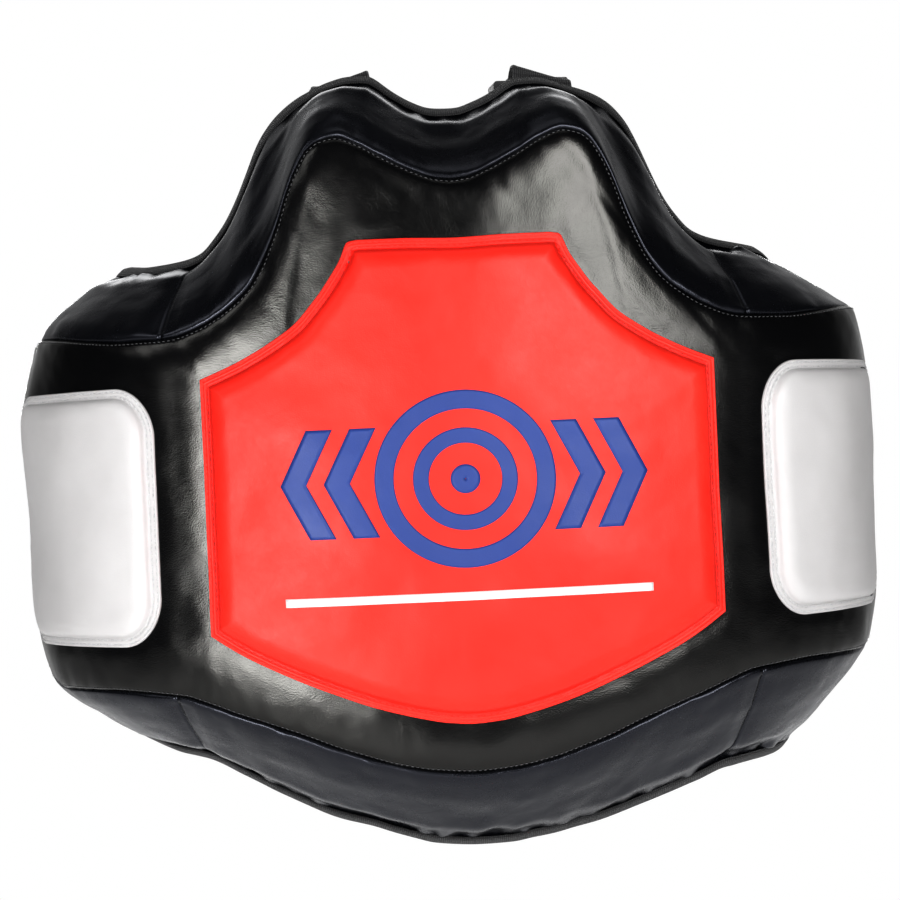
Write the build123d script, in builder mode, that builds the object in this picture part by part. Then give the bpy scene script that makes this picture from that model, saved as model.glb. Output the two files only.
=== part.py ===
# Trainer belly pad: a thick curved body protector with three raised target pads,
# a bevelled gusset all round, and a crossed shoulder harness with a waist belt.
# Millimetres. Z up, X to the viewer's right, the front faces -Y, the origin is the
# middle of the inner lining.
from build123d import *
import os
from math import sin, cos, radians, sqrt, atan2, degrees

os.makedirs("parts", exist_ok=True)

# ---- driving dimensions -------------------------------------------------------
R_FRONT = 629.0      # inner radius of the wide front
A_FRONT = 14.0       # degrees from the middle to where the front bends
R_SIDE = 75.0        # inner radius of the bend to each wing
A_SIDE = 78.0        # degrees where the wing begins
R_WING = 260.0       # inner radius of the wing
A_WING = 95.0        # degrees at the wing's end
R_BACK = 62.5        # radius the straps take round to the back
DEPTH = 72.0         # body thickness over the belly
DEPTH_WING = 60.0    # body thickness on the wings
DEPTH_END = 14.0     # thickness left at the wing's back edge
T_LINING = 2.0       # lining thickness
T_PANEL = 2.5        # front panel thickness
T_GUSSET = 2.0       # wing end gusset thickness
GZ = 2.8             # gusset thickness measured up the wall
FOAM_1 = 0.36        # first foam joint, as a share of the depth
FOAM_2 = 0.68        # second foam joint
SEAM_U = 158.0       # gusset cross seams
BIND_T = 1.8         # binding tape thickness
BIND_IN = 7.0        # tape width on the lining side
BIND_OUT = 9.0       # tape width on the gusset side
PAD_RISE = 15.0      # centre pad height
SIDE_RISE = 11.0     # side pad height
COVER_T = 2.2        # pad cover thickness
PAD_EDGE = 9.0       # flat stitched border of a pad
PAD_SLOPE = 10.0     # width of a pad's rising wall
SIDE_EDGE = 8.0
SIDE_TOP = 51.0      # side pad, top and bottom
SIDE_BOTTOM = -105.0
SIDE_ROUND = 20.0    # side pad corner radius
WEB_W = 38.0         # webbing width
WEB_T = 2.0          # webbing thickness
CROSS_Z = 130.0      # height of the strap crossing
STRAP_SLOPE = 0.5    # fall of the crossed straps on the back
WAIST_Z = -75.0      # height of the waist belt

# ---- plan curve: u is the length along the inner lining ------------------------
a1, a2, a3 = radians(A_FRONT), radians(A_SIDE), radians(A_WING)
U1 = R_FRONT * a1
U2 = U1 + R_SIDE * (a2 - a1)
U_OUT = U2 + R_WING * radians(9.0)
U_IN = U2 + R_WING * (a3 - a2)
U4 = U_IN + R_BACK * (radians(180) - a3)
c2x = R_FRONT * sin(a1) - R_SIDE * sin(a1)
c2y = R_FRONT * (1 - cos(a1)) + R_SIDE * cos(a1)
c3x = c2x + (R_SIDE - R_WING) * sin(a2)
c3y = c2y - (R_SIDE - R_WING) * cos(a2)
c4x = c3x + (R_WING - R_BACK) * sin(a3)
c4y = c3y - (R_WING - R_BACK) * cos(a3)
U_CENTRE = U4 + c4x          # middle of the back


def plan(u):
    s = -1.0 if u < 0 else 1.0
    v = abs(u)
    if v <= U1:
        t = v / R_FRONT
        return s, R_FRONT * sin(t), R_FRONT * (1 - cos(t)), t
    if v <= U2:
        t = a1 + (v - U1) / R_SIDE
        return s, c2x + R_SIDE * sin(t), c2y - R_SIDE * cos(t), t
    if v <= U_IN:
        t = a2 + (v - U2) / R_WING
        return s, c3x + R_WING * sin(t), c3y - R_WING * cos(t), t
    if v <= U4:
        t = a3 + (v - U_IN) / R_BACK
        return s, c4x + R_BACK * sin(t), c4y - R_BACK * cos(t), t
    return s, c4x - (v - U4), c4y + R_BACK, radians(180)


def slice_plane(u):
    # local x runs outward, local y runs up
    s, x, y, t = plan(u)
    nx, ny = s * sin(t), -cos(t)
    return Plane(origin=(s * x, y, 0), x_dir=(nx, ny, 0), z_dir=(ny, -nx, 0))


def lerp(table, u):
    v = abs(u)
    if v <= table[0][0]:
        return table[0][1]
    for (p, a), (q, b) in zip(table, table[1:]):
        if v <= q:
            return a + (b - a) * (v - p) / (q - p)
    return table[-1][1]


TOP_SEAM = [(0, 165.5), (8, 166.5), (20, 171.5), (37, 181.3), (50, 189.5), (61, 193.5), (70, 191.5), (76, 187),
            (82, 177), (88, 162), (94, 143), (99, 129.5), (105, 116), (112.5, 104.5), (124, 94), (136, 86.3),
            (149, 81), (160, 79), (172, 79), (186, 81), (205, 84.5), (240, 88), (278.4, 89)]
BOTTOM_SEAM = [(0, -186.5), (20, -185), (40, -181), (62, -173.5), (75, -168.5), (88, -162.5), (100, -157.5),
               (115, -151.5), (127, -147), (142, -140.5), (160, -134.5), (181, -132), (207, -132.5), (278.4, -133)]
TOP_EDGE = [(0, 215), (8, 215.5), (18, 219), (33, 228), (41, 234.5), (46, 237.5), (57, 237.5), (67, 235.5),
            (80, 230.5), (90, 225.5), (98.5, 220), (106, 213.5), (113.5, 203.5), (121.5, 186), (128.5, 170), (135.5, 157),
            (143.5, 146), (153.5, 135.5), (166, 130.5), (185, 127.5), (205, 126), (230, 124.5), (262, 120.5), (278.4, 117.5),
            (290, 114), (302, 107), (314.7, 93)]
BOTTOM_EDGE = [(0, -238), (24, -237), (36, -234.5), (50, -231), (62, -227), (84, -221), (113, -209.5),
               (143, -197), (165, -188), (185, -186), (230, -183), (262, -179.5), (278.4, -176), (290, -172),
               (302, -165), (314.7, -151)]
PAD_TOP = [(0, 130.3), (28, 131.3), (50, 131.5), (56, 130.5), (61, 119.5), (66, 111), (72, 101.5), (77, 95),
           (82, 88.5), (86, 84), (90, 80.5), (94, 77.5), (99, 74), (105, 70), (112, 66), (119.5, 62), (128, 58),
           (129.5, 57.3), (138.5, 53.5)]
PAD_BOTTOM = [(0, -156.8), (14, -155.6), (28, -152.5), (50, -145.8), (77, -134.6), (99, -124), (119.5, -112.5),
              (129.5, -105.8), (138.5, -99)]
STATIONS = [0, 14, 28, 42, 50, 56, 61, 66, 72, 77, 82, 86, 90, 94, 99, 105, 112, 119.5, 128, 129.5, 138.5, 146, U1,
            158, 160.5, 161.5, 163, 164.8, 165.5, 167.5, 170.2, 178, 188, 198, 206, 214, 223.5, 227, 227.5, 230,
            231.4, 232.5, 234, 239, 246, 254, 262, U_OUT, 290, 302, U_IN]
SIDE_U0, SIDE_U1 = 160.5, 234.0


def stations(lo, hi):
    both = sorted({-s for s in STATIONS} | set(STATIONS))
    return [s for s in both if lo - 1e-6 <= s <= hi + 1e-6]


def depth(u):
    v = abs(u)
    if v <= 150:
        return DEPTH
    if v <= 231.4:
        return DEPTH + (DEPTH_WING - DEPTH) * (v - 150) / 81.4
    if v <= U_OUT:
        return DEPTH_WING
    return DEPTH_WING + (DEPTH_END - DEPTH_WING) * min(1, (v - U_OUT) / (U_IN - U_OUT))


def top_in(u):
    return lerp(TOP_EDGE, u)


def bottom_in(u):
    return lerp(BOTTOM_EDGE, u)


def top_out(u):
    if abs(u) <= U_OUT:
        return lerp(TOP_SEAM, u)
    return top_in(u) - (top_in(U_OUT) - lerp(TOP_SEAM, U_OUT)) * depth(u) / DEPTH_WING


def bottom_out(u):
    if abs(u) <= U_OUT:
        return lerp(BOTTOM_SEAM, u)
    return bottom_in(u) - (bottom_in(U_OUT) - lerp(BOTTOM_SEAM, U_OUT)) * depth(u) / DEPTH_WING


def zt(u, n, off=0.0):
    return top_in(u) + (top_out(u) - top_in(u)) * n / depth(u) - off


def zb(u, n, off=0.0):
    return bottom_in(u) + (bottom_out(u) - bottom_in(u)) * n / depth(u) + off


def layer(u, n0, n1, off):
    return [(n0, zb(u, n0, off)), (n1, zb(u, n1, off)), (n1, zt(u, n1, off)), (n0, zt(u, n0, off))]


def slack(u):
    # the wing's end tapers, so what is inside it stands clear of the gusset
    return 0.0 if abs(u) <= U_OUT + 0.01 else 0.9


def top_strip(u):
    d = depth(u)
    return [(0, zt(u, 0, GZ)), (d, zt(u, d, GZ)), (d, zt(u, d)), (0, zt(u, 0))]


def bottom_strip(u):
    d = depth(u)
    return [(0, zb(u, 0)), (d, zb(u, d)), (d, zb(u, d, GZ)), (0, zb(u, 0, GZ))]


def end_section(u):
    d = depth(u)
    m = d - T_GUSSET
    return [(0, zb(u, 0)), (d, zb(u, d)), (d, zt(u, d)), (0, zt(u, 0)),
            (0, zt(u, 0, GZ)), (m, zt(u, m, GZ)), (m, zb(u, m, GZ)), (0, zb(u, 0, GZ))]


def cap_section(u):
    d = depth(u)
    return [(0, zb(u, 0)), (d, zb(u, d)), (d, zt(u, d)), (0, zt(u, 0))]


def bind_top(u):
    e = 0.0 if abs(u) <= U_OUT + 0.01 else 0.5
    fall = (top_out(u) - top_in(u)) / depth(u)
    t = BIND_T * sqrt(1 + fall * fall) + e
    return [(-1.5, zt(u, 0) - BIND_IN), (0, zt(u, 0) - BIND_IN), (0, zt(u, 0) + e), (BIND_OUT, zt(u, BIND_OUT) + e),
            (BIND_OUT, zt(u, BIND_OUT) + t), (0, zt(u, 0) + t), (-1.5, zt(u, 0) + t)]


def bind_bottom(u):
    e = 0.0 if abs(u) <= U_OUT + 0.01 else 0.5
    rise = (bottom_out(u) - bottom_in(u)) / depth(u)
    t = BIND_T * sqrt(1 + rise * rise) + e
    return [(-1.5, zb(u, 0) - t), (0, zb(u, 0) - t), (BIND_OUT, zb(u, BIND_OUT) - t), (BIND_OUT, zb(u, BIND_OUT) - e),
            (0, zb(u, 0) - e), (0, zb(u, 0) + BIND_IN), (-1.5, zb(u, 0) + BIND_IN)]


def bind_end(u):
    return [(-1.5, zb(u, 0) + BIND_IN - 1), (0, zb(u, 0) + BIND_IN - 1), (0, zt(u, 0) - BIND_IN + 1),
            (-1.5, zt(u, 0) - BIND_IN + 1)]


def centre_rise(u):
    v = abs(u)
    if v <= 119.5:
        return PAD_RISE
    return max(COVER_T + 0.4, PAD_RISE - (PAD_RISE - COVER_T) * (v - 119.5) / 10.0)


def centre_hat(u):
    d, h = depth(u), centre_rise(u)
    lo, hi = lerp(PAD_BOTTOM, u), lerp(PAD_TOP, u)
    b, c = PAD_EDGE, PAD_EDGE + PAD_SLOPE
    return [(d, lo), (d + COVER_T, lo), (d + COVER_T, lo + b), (d + h, lo + c), (d + h, hi - c),
            (d + COVER_T, hi - b), (d + COVER_T, hi), (d, hi)]


def centre_fill(u):
    d, h = depth(u), centre_rise(u) - COVER_T
    lo, hi = lerp(PAD_BOTTOM, u), lerp(PAD_TOP, u)
    b, c = PAD_EDGE + 2, PAD_EDGE + PAD_SLOPE + 0.6
    return [(d, lo + b), (d + h, lo + c), (d + h, hi - c), (d, hi - b)]


def side_len(u):
    # length on the outer face from the near and the far end of a side pad
    v = abs(u)

    def run(p, q):
        total, n = 0.0, 24
        for i in range(n):
            w = p + (q - p) * (i + 0.5) / n
            r = R_SIDE if w <= U2 else R_WING
            total += (q - p) / n * (r + depth(w)) / r
        return total
    return run(SIDE_U0, v), run(v, SIDE_U1)


def side_outline(u):
    near, far = side_len(u)
    e = min(near, far)
    k = 0.0
    if e < SIDE_ROUND:
        k = SIDE_ROUND - sqrt(max(0.0, SIDE_ROUND ** 2 - (SIDE_ROUND - e) ** 2))
    return SIDE_BOTTOM + min(k, SIDE_ROUND - 2), SIDE_TOP - min(k, SIDE_ROUND - 2), e


def side_rise(e):
    if e >= SIDE_EDGE + PAD_SLOPE:
        return SIDE_RISE
    return max(COVER_T + 0.4, COVER_T + (SIDE_RISE - COVER_T) * (e - SIDE_EDGE) / PAD_SLOPE)


def side_hat(u):
    d = depth(u)
    lo, hi, e = side_outline(u)
    h = side_rise(e)
    b, c = SIDE_EDGE, SIDE_EDGE + PAD_SLOPE
    return [(d, lo), (d + COVER_T, lo), (d + COVER_T, lo + b), (d + h, lo + c), (d + h, hi - c),
            (d + COVER_T, hi - b), (d + COVER_T, hi), (d, hi)]


def side_fill(u):
    d = depth(u)
    lo, hi, e = side_outline(u)
    h = max(0.3, side_rise(e) - COVER_T)
    b, c = SIDE_EDGE + 2, SIDE_EDGE + PAD_SLOPE + 0.6
    return [(d, lo + b), (d + h, lo + c), (d + h, hi - c), (d, hi - b)]


# ---- straps ---------------------------------------------------------------------
def vadd(a, b, k=1.0):
    return (a[0] + b[0] * k, a[1] + b[1] * k, a[2] + b[2] * k)


def vsub(a, b):
    return (a[0] - b[0], a[1] - b[1], a[2] - b[2])


def vdot(a, b):
    return a[0] * b[0] + a[1] * b[1] + a[2] * b[2]


def vcross(a, b):
    return (a[1] * b[2] - a[2] * b[1], a[2] * b[0] - a[0] * b[2], a[0] * b[1] - a[1] * b[0])


def unit(a):
    r = sqrt(vdot(a, a))
    return (a[0] / r, a[1] / r, a[2] / r)


def strap_planes(path):
    # path: (point, width vector); returns planes square to the path, x across the strap
    out = []
    for i, (p, w) in enumerate(path):
        a = path[max(0, i - 1)][0]
        b = path[min(len(path) - 1, i + 1)][0]
        t = unit(vsub(b, a))
        w = unit(vadd(w, t, -vdot(w, t)))
        out.append(Plane(origin=p, x_dir=w, z_dir=t))
    return out


def flank(s, u, n, z):
    # point and frame on the extended plan curve, s = side
    _, x, y, t = plan(u)
    return (s * (x + n * sin(t)), y - n * cos(t), z)


INNER = -3.4         # centre of the inner strap from the plan curve
OUTER = -1.0         # centre of the outer strap where the two cross
phi = atan2(STRAP_SLOPE, 1.0)


def strap_n(u, base):
    v = abs(u)
    if v <= U_IN:
        return INNER
    if v >= U4:
        return base
    return INNER + (base - INNER) * (v - U_IN) / (U4 - U_IN)


def diag_point(s, u, base):
    return flank(s, u, strap_n(u, base), CROSS_Z - STRAP_SLOPE * (U_CENTRE - u))


def diag_width(s, u):
    # across the strap, lying in the surface
    _, x, y, t = plan(u)
    tx, ty = s * cos(t), sin(t)
    return unit((-tx * STRAP_SLOPE, -ty * STRAP_SLOPE, 1.0))


def lower_path(s, base, u_from):
    # from the wing's anchor to the buckle tongue
    us = [286, 290, 302, U_IN, 326, 338, 350, 362, 374, 386, 397, U4, 420]
    us = [v for v in us if v < u_from - 3] + [u_from]
    return [(diag_point(s, v, base), diag_width(s, v)) for v in us]


def upper_path(s, base, u_from):
    # s is the side of the wing this strap goes down to; the shoulder is on the other side
    o = -s
    pts = [(diag_point(s, v, base), diag_width(s, v)) for v in (u_from, U_CENTRE + 0.01, U_CENTRE + 24, U_CENTRE + 40)]
    y0 = c4y + R_BACK - 0.0 + base
    w0 = diag_width(s, U_CENTRE)
    _, x, y, t = plan(64.0)
    nx, ny = o * sin(t), -cos(t)
    wx = (-s * cos(t) * -1.0, 0, 0)
    run = unit((cos(t), o * -1.0 * sin(t) * -1.0, 0))
    acr = (s * cos(t), s * o * sin(t), 0)

    def back(n, z):
        return (o * x + nx * n, y + ny * n, z)
    x0, xz = o * 40.0, CROSS_Z + 20.0
    mids = [((o * 46.5, y0 - 3.0, xz + 12), 0.20), ((o * 51.0, y0 - 11.0, xz + 27), 0.42),
            ((o * 53.0, y0 - 24.0, xz + 43.5), 0.62), ((o * 53.7, y0 - 42.0, xz + 58.5), 0.78),
            ((o * 53.7, y0 - 62.0, xz + 71.0), 0.90), ((o * 53.5, y0 - 84.0, xz + 80.5), 0.97)]
    for p, k in mids:
        w = vadd((w0[0] * (1 - k), w0[1] * (1 - k), w0[2] * (1 - k)), acr, k)
        pts.append((p, unit(w)))
    for n, z in ((-100, 237), (-88, 237), (-14, 237), (-8, 235.6), (-4.3, 231.8), (-2.9, 226), (-2.9, 200)):
        pts.append((back(n, z), acr))
    return pts


def waist_path(s, x_end):
    us = [286, 290, 302, U_IN, 326, 338, 350, 362, 374, 386, 397, U4]
    pts = [(flank(s, v, INNER, WAIST_Z), (0, 0, 1)) for v in us]
    pts.append(((s * x_end, c4y + R_BACK + INNER, WAIST_Z), (0, 0, 1)))
    return pts


BUCKLE_AT = 62.0     # from the crossing to a shoulder buckle's middle
H_BACK, H_MOUTH = -24.0, 14.0
T_FACE, T_END = 14.3, 44.0
dirs = {}
for key, s, base in (("right", 1, INNER), ("left", -1, OUTER)):
    dirs[key] = (s * cos(phi), 0, -sin(phi))
right_o = vadd((0, c4y + R_BACK + INNER, CROSS_Z), dirs["right"], BUCKLE_AT)
left_o = vadd((0, c4y + R_BACK + OUTER, CROSS_Z), dirs["left"], BUCKLE_AT)
waist_o = (0, c4y + R_BACK + INNER, WAIST_Z)
right_plane = Plane(origin=right_o, x_dir=dirs["right"], z_dir=(0, 1, 0))
left_plane = Plane(origin=left_o, x_dir=dirs["left"], z_dir=(0, 1, 0))
waist_plane = Plane(origin=waist_o, x_dir=(1, 0, 0), z_dir=(0, 1, 0))


def u_at(along):
    # plan position of a point on a diagonal, from its distance past the crossing
    return U_CENTRE - along * cos(phi)


HOUSING = [(H_BACK, -19), (H_BACK + 4, -23.5), (-16, -24), (H_MOUTH - 3, -24), (H_MOUTH, -22.5), (H_MOUTH, 22.5),
           (H_MOUTH - 3, 24), (-16, 24), (H_BACK + 4, 23.5), (H_BACK, 19)]
TONGUE = [(T_FACE, -22.5), (T_FACE + 2, -24), (T_END - 4, -24), (T_END, -20), (T_END, 20), (T_END - 4, 24),
          (T_FACE + 2, 24), (T_FACE, 22.5)]
ARM = [(11.4, 12.0), (-12.3, 12.6), (-13.6, 14.5), (-13.2, 20.5), (-12.0, 22.6), (-3.6, 22.9), (-3.2, 19.4),
       (-1.0, 17.6), (11.4, 17.0)]
ARM_LOW = [(x, -y) for x, y in ARM]
PIVOT = (11.4, 14.5)

# ---- the padded body ------------------------------------------------------------
with BuildPart() as front_panel:
    for u in stations(-U_OUT, U_OUT):
        with BuildSketch(slice_plane(u)):
            with BuildLine():
                Polyline(*layer(u, depth(u) - T_PANEL, depth(u), GZ), close=True)
            make_face()
    loft(ruled=True)
front_panel.part.label = "front panel"
export_step(front_panel.part, "parts/front_panel.step")

with BuildPart() as back_lining:
    for u in stations(-U_IN, U_IN):
        with BuildSketch(slice_plane(u)):
            with BuildLine():
                Polyline(*layer(u, 0, T_LINING, GZ + slack(u)), close=True)
            make_face()
    loft(ruled=True)
back_lining.part.label = "back lining"
export_step(back_lining.part, "parts/back_lining.step")

with BuildPart() as foam_back:
    for u in stations(-U_OUT, U_OUT):
        with BuildSketch(slice_plane(u)):
            with BuildLine():
                Polyline(*layer(u, T_LINING, FOAM_1 * depth(u), GZ), close=True)
            make_face()
    loft(ruled=True)
foam_back.part.label = "back foam layer"
export_step(foam_back.part, "parts/foam_back.step")

with BuildPart() as foam_middle:
    for u in stations(-U_OUT, U_OUT):
        with BuildSketch(slice_plane(u)):
            with BuildLine():
                Polyline(*layer(u, FOAM_1 * depth(u), FOAM_2 * depth(u), GZ), close=True)
            make_face()
    loft(ruled=True)
foam_middle.part.label = "middle foam layer"
export_step(foam_middle.part, "parts/foam_middle.step")

with BuildPart() as foam_front:
    for u in stations(-U_OUT, U_OUT):
        with BuildSketch(slice_plane(u)):
            with BuildLine():
                Polyline(*layer(u, FOAM_2 * depth(u), depth(u) - T_PANEL, GZ), close=True)
            make_face()
    loft(ruled=True)
foam_front.part.label = "front foam layer"
export_step(foam_front.part, "parts/foam_front.step")

with BuildPart() as left_wing_foam:
    for u in stations(-U_IN, -U_OUT):
        with BuildSketch(slice_plane(u)):
            with BuildLine():
                Polyline(*layer(u, T_LINING + 0.05, depth(u) - T_GUSSET - (0.4 if slack(u) else 0.05), GZ + slack(u) + 0.05), close=True)
            make_face()
    loft(ruled=True)
left_wing_foam.part.label = "left wing end foam"
export_step(left_wing_foam.part, "parts/left_wing_foam.step")

with BuildPart() as right_wing_foam:
    for u in stations(U_OUT, U_IN):
        with BuildSketch(slice_plane(u)):
            with BuildLine():
                Polyline(*layer(u, T_LINING + 0.05, depth(u) - T_GUSSET - (0.4 if slack(u) else 0.05), GZ + slack(u) + 0.05), close=True)
            make_face()
    loft(ruled=True)
right_wing_foam.part.label = "right wing end foam"
export_step(right_wing_foam.part, "parts/right_wing_foam.step")

with BuildPart() as top_gusset:
    for u in stations(-SEAM_U, SEAM_U):
        with BuildSketch(slice_plane(u)):
            with BuildLine():
                Polyline(*top_strip(u), close=True)
            make_face()
    loft(ruled=True)
top_gusset.part.label = "top gusset"
export_step(top_gusset.part, "parts/top_gusset.step")

with BuildPart() as bottom_gusset:
    for u in stations(-SEAM_U, SEAM_U):
        with BuildSketch(slice_plane(u)):
            with BuildLine():
                Polyline(*bottom_strip(u), close=True)
            make_face()
    loft(ruled=True)
bottom_gusset.part.label = "bottom gusset"
export_step(bottom_gusset.part, "parts/bottom_gusset.step")

cap_l = slice_plane(-U_IN)
cap_r = slice_plane(U_IN)
with BuildPart() as left_gusset:
    for u in stations(-U_OUT, -SEAM_U):
        with BuildSketch(slice_plane(u)):
            with BuildLine():
                Polyline(*top_strip(u), close=True)
            make_face()
    loft(ruled=True)
    for u in stations(-U_OUT, -SEAM_U):
        with BuildSketch(slice_plane(u)):
            with BuildLine():
                Polyline(*bottom_strip(u), close=True)
            make_face()
    loft(ruled=True)
    for u in stations(-U_IN, -U_OUT):
        with BuildSketch(slice_plane(u)):
            with BuildLine():
                Polyline(*end_section(u), close=True)
            make_face()
    loft(ruled=True)
    with BuildSketch(cap_l):
        with BuildLine():
            Polyline(*cap_section(-U_IN), close=True)
        make_face()
    extrude(amount=2.0)
left_gusset.part.label = "left gusset"
export_step(left_gusset.part, "parts/left_gusset.step")

with BuildPart() as right_gusset:
    for u in stations(SEAM_U, U_OUT):
        with BuildSketch(slice_plane(u)):
            with BuildLine():
                Polyline(*top_strip(u), close=True)
            make_face()
    loft(ruled=True)
    for u in stations(SEAM_U, U_OUT):
        with BuildSketch(slice_plane(u)):
            with BuildLine():
                Polyline(*bottom_strip(u), close=True)
            make_face()
    loft(ruled=True)
    for u in stations(U_OUT, U_IN):
        with BuildSketch(slice_plane(u)):
            with BuildLine():
                Polyline(*end_section(u), close=True)
            make_face()
    loft(ruled=True)
    with BuildSketch(cap_r):
        with BuildLine():
            Polyline(*cap_section(U_IN), close=True)
        make_face()
    extrude(amount=-2.0)
right_gusset.part.label = "right gusset"
export_step(right_gusset.part, "parts/right_gusset.step")

with BuildPart() as edge_binding:
    for u in stations(-U_IN, U_IN):
        with BuildSketch(slice_plane(u)):
            with BuildLine():
                Polyline(*bind_top(u), close=True)
            make_face()
    loft(ruled=True)
    for u in stations(-U_IN, U_IN):
        with BuildSketch(slice_plane(u)):
            with BuildLine():
                Polyline(*bind_bottom(u), close=True)
            make_face()
    loft(ruled=True)
    for u in stations(-U_IN, -302):
        with BuildSketch(slice_plane(u)):
            with BuildLine():
                Polyline(*bind_end(u), close=True)
            make_face()
    loft(ruled=True)
    for u in stations(302, U_IN):
        with BuildSketch(slice_plane(u)):
            with BuildLine():
                Polyline(*bind_end(u), close=True)
            make_face()
    loft(ruled=True)
edge_binding.part.label = "edge binding"
export_step(edge_binding.part, "parts/edge_binding.step")

# ---- target pads ------------------------------------------------------------------
with BuildPart() as centre_pad_foam:
    for u in stations(-128, 128):
        with BuildSketch(slice_plane(u)):
            with BuildLine():
                Polyline(*centre_fill(u), close=True)
            make_face()
    loft(ruled=True)
centre_pad_foam.part.label = "centre pad foam"
export_step(centre_pad_foam.part, "parts/centre_pad_foam.step")

with BuildPart() as centre_pad_cover:
    for u in stations(-138.5, 138.5):
        with BuildSketch(slice_plane(u)):
            with BuildLine():
                Polyline(*centre_hat(u), close=True)
            make_face()
    loft(ruled=True)
    add(centre_pad_foam.part, mode=Mode.SUBTRACT)
centre_pad_cover.part.label = "centre pad cover"
export_step(centre_pad_cover.part, "parts/centre_pad_cover.step")

with BuildPart() as left_pad_foam:
    for u in stations(-239, -165.5):
        with BuildSketch(slice_plane(u)):
            with BuildLine():
                Polyline(*side_fill(u), close=True)
            make_face()
    loft(ruled=True)
left_pad_foam.part.label = "left side pad foam"
export_step(left_pad_foam.part, "parts/left_pad_foam.step")

with BuildPart() as left_pad_cover:
    for u in stations(-SIDE_U1, -SIDE_U0):
        with BuildSketch(slice_plane(u)):
            with BuildLine():
                Polyline(*side_hat(u), close=True)
            make_face()
    loft(ruled=True)
    add(left_pad_foam.part, mode=Mode.SUBTRACT)
left_pad_cover.part.label = "left side pad cover"
export_step(left_pad_cover.part, "parts/left_pad_cover.step")

with BuildPart() as right_pad_foam:
    for u in stations(165.5, 239):
        with BuildSketch(slice_plane(u)):
            with BuildLine():
                Polyline(*side_fill(u), close=True)
            make_face()
    loft(ruled=True)
right_pad_foam.part.label = "right side pad foam"
export_step(right_pad_foam.part, "parts/right_pad_foam.step")

with BuildPart() as right_pad_cover:
    for u in stations(SIDE_U0, SIDE_U1):
        with BuildSketch(slice_plane(u)):
            with BuildLine():
                Polyline(*side_hat(u), close=True)
            make_face()
    loft(ruled=True)
    add(right_pad_foam.part, mode=Mode.SUBTRACT)
right_pad_cover.part.label = "right side pad cover"
export_step(right_pad_cover.part, "parts/right_pad_cover.step")

# ---- patches the straps are sewn to -------------------------------------------------
with BuildPart() as left_shoulder_patch:
    for u in stations(-84, -42):
        with BuildSketch(slice_plane(u)):
            with BuildLine():
                Polyline((-1.5, 180), (0, 180), (0, 219), (-1.5, 219), close=True)
            make_face()
    loft(ruled=True)
left_shoulder_patch.part.label = "left shoulder patch"
export_step(left_shoulder_patch.part, "parts/left_shoulder_patch.step")

with BuildPart() as right_shoulder_patch:
    for u in stations(42, 84):
        with BuildSketch(slice_plane(u)):
            with BuildLine():
                Polyline((-1.5, 180), (0, 180), (0, 219), (-1.5, 219), close=True)
            make_face()
    loft(ruled=True)
right_shoulder_patch.part.label = "right shoulder patch"
export_step(right_shoulder_patch.part, "parts/right_shoulder_patch.step")

with BuildPart() as left_anchor_patch:
    for u in stations(-302, -U_OUT):
        with BuildSketch(slice_plane(u)):
            with BuildLine():
                Polyline((-1.5, -102), (0, -102), (0, 34), (-1.5, 34), close=True)
            make_face()
    loft(ruled=True)
left_anchor_patch.part.label = "left strap anchor patch"
export_step(left_anchor_patch.part, "parts/left_anchor_patch.step")

with BuildPart() as right_anchor_patch:
    for u in stations(U_OUT, 302):
        with BuildSketch(slice_plane(u)):
            with BuildLine():
                Polyline((-1.5, -102), (0, -102), (0, 34), (-1.5, 34), close=True)
            make_face()
    loft(ruled=True)
right_anchor_patch.part.label = "right strap anchor patch"
export_step(right_anchor_patch.part, "parts/right_anchor_patch.step")

with BuildPart() as strap_cross_patch:
    with BuildSketch(Plane(origin=(0, c4y + R_BACK + OUTER + WEB_T / 2 + 0.05, CROSS_Z), x_dir=(1, 0, 0), z_dir=(0, 1, 0))):
        with BuildLine():
            Polyline((-34, 0), (-28, -14), (0, -26), (28, -14), (34, 0), (28, 14), (0, 26), (-28, 14), close=True)
        make_face()
    extrude(amount=2.0)
strap_cross_patch.part.label = "strap crossing patch"
export_step(strap_cross_patch.part, "parts/strap_cross_patch.step")

# ---- webbing --------------------------------------------------------------------------
with BuildPart() as left_shoulder_strap:
    for pl in strap_planes(upper_path(1, INNER, u_at(BUCKLE_AT + H_BACK - 0.1))):
        with BuildSketch(pl):
            Rectangle(WEB_W, WEB_T)
    loft(ruled=True)
left_shoulder_strap.part.label = "left shoulder strap"
export_step(left_shoulder_strap.part, "parts/left_shoulder_strap.step")

with BuildPart() as right_shoulder_strap:
    for pl in strap_planes(upper_path(-1, OUTER, u_at(BUCKLE_AT + H_BACK - 0.1))):
        with BuildSketch(pl):
            Rectangle(WEB_W, WEB_T)
    loft(ruled=True)
right_shoulder_strap.part.label = "right shoulder strap"
export_step(right_shoulder_strap.part, "parts/right_shoulder_strap.step")

with BuildPart() as right_lower_strap:
    for pl in strap_planes(lower_path(1, INNER, u_at(BUCKLE_AT + T_END + 0.1))):
        with BuildSketch(pl):
            Rectangle(WEB_W, WEB_T)
    loft(ruled=True)
right_lower_strap.part.label = "right lower strap"
export_step(right_lower_strap.part, "parts/right_lower_strap.step")

with BuildPart() as left_lower_strap:
    for pl in strap_planes(lower_path(-1, OUTER, u_at(BUCKLE_AT + T_END + 0.1))):
        with BuildSketch(pl):
            Rectangle(WEB_W, WEB_T)
    loft(ruled=True)
left_lower_strap.part.label = "left lower strap"
export_step(left_lower_strap.part, "parts/left_lower_strap.step")

with BuildPart() as left_waist_strap:
    for pl in strap_planes(waist_path(-1, -H_BACK + 0.1)):
        with BuildSketch(pl):
            Rectangle(WEB_W, WEB_T)
    loft(ruled=True)
left_waist_strap.part.label = "left waist strap"
export_step(left_waist_strap.part, "parts/left_waist_strap.step")

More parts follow.
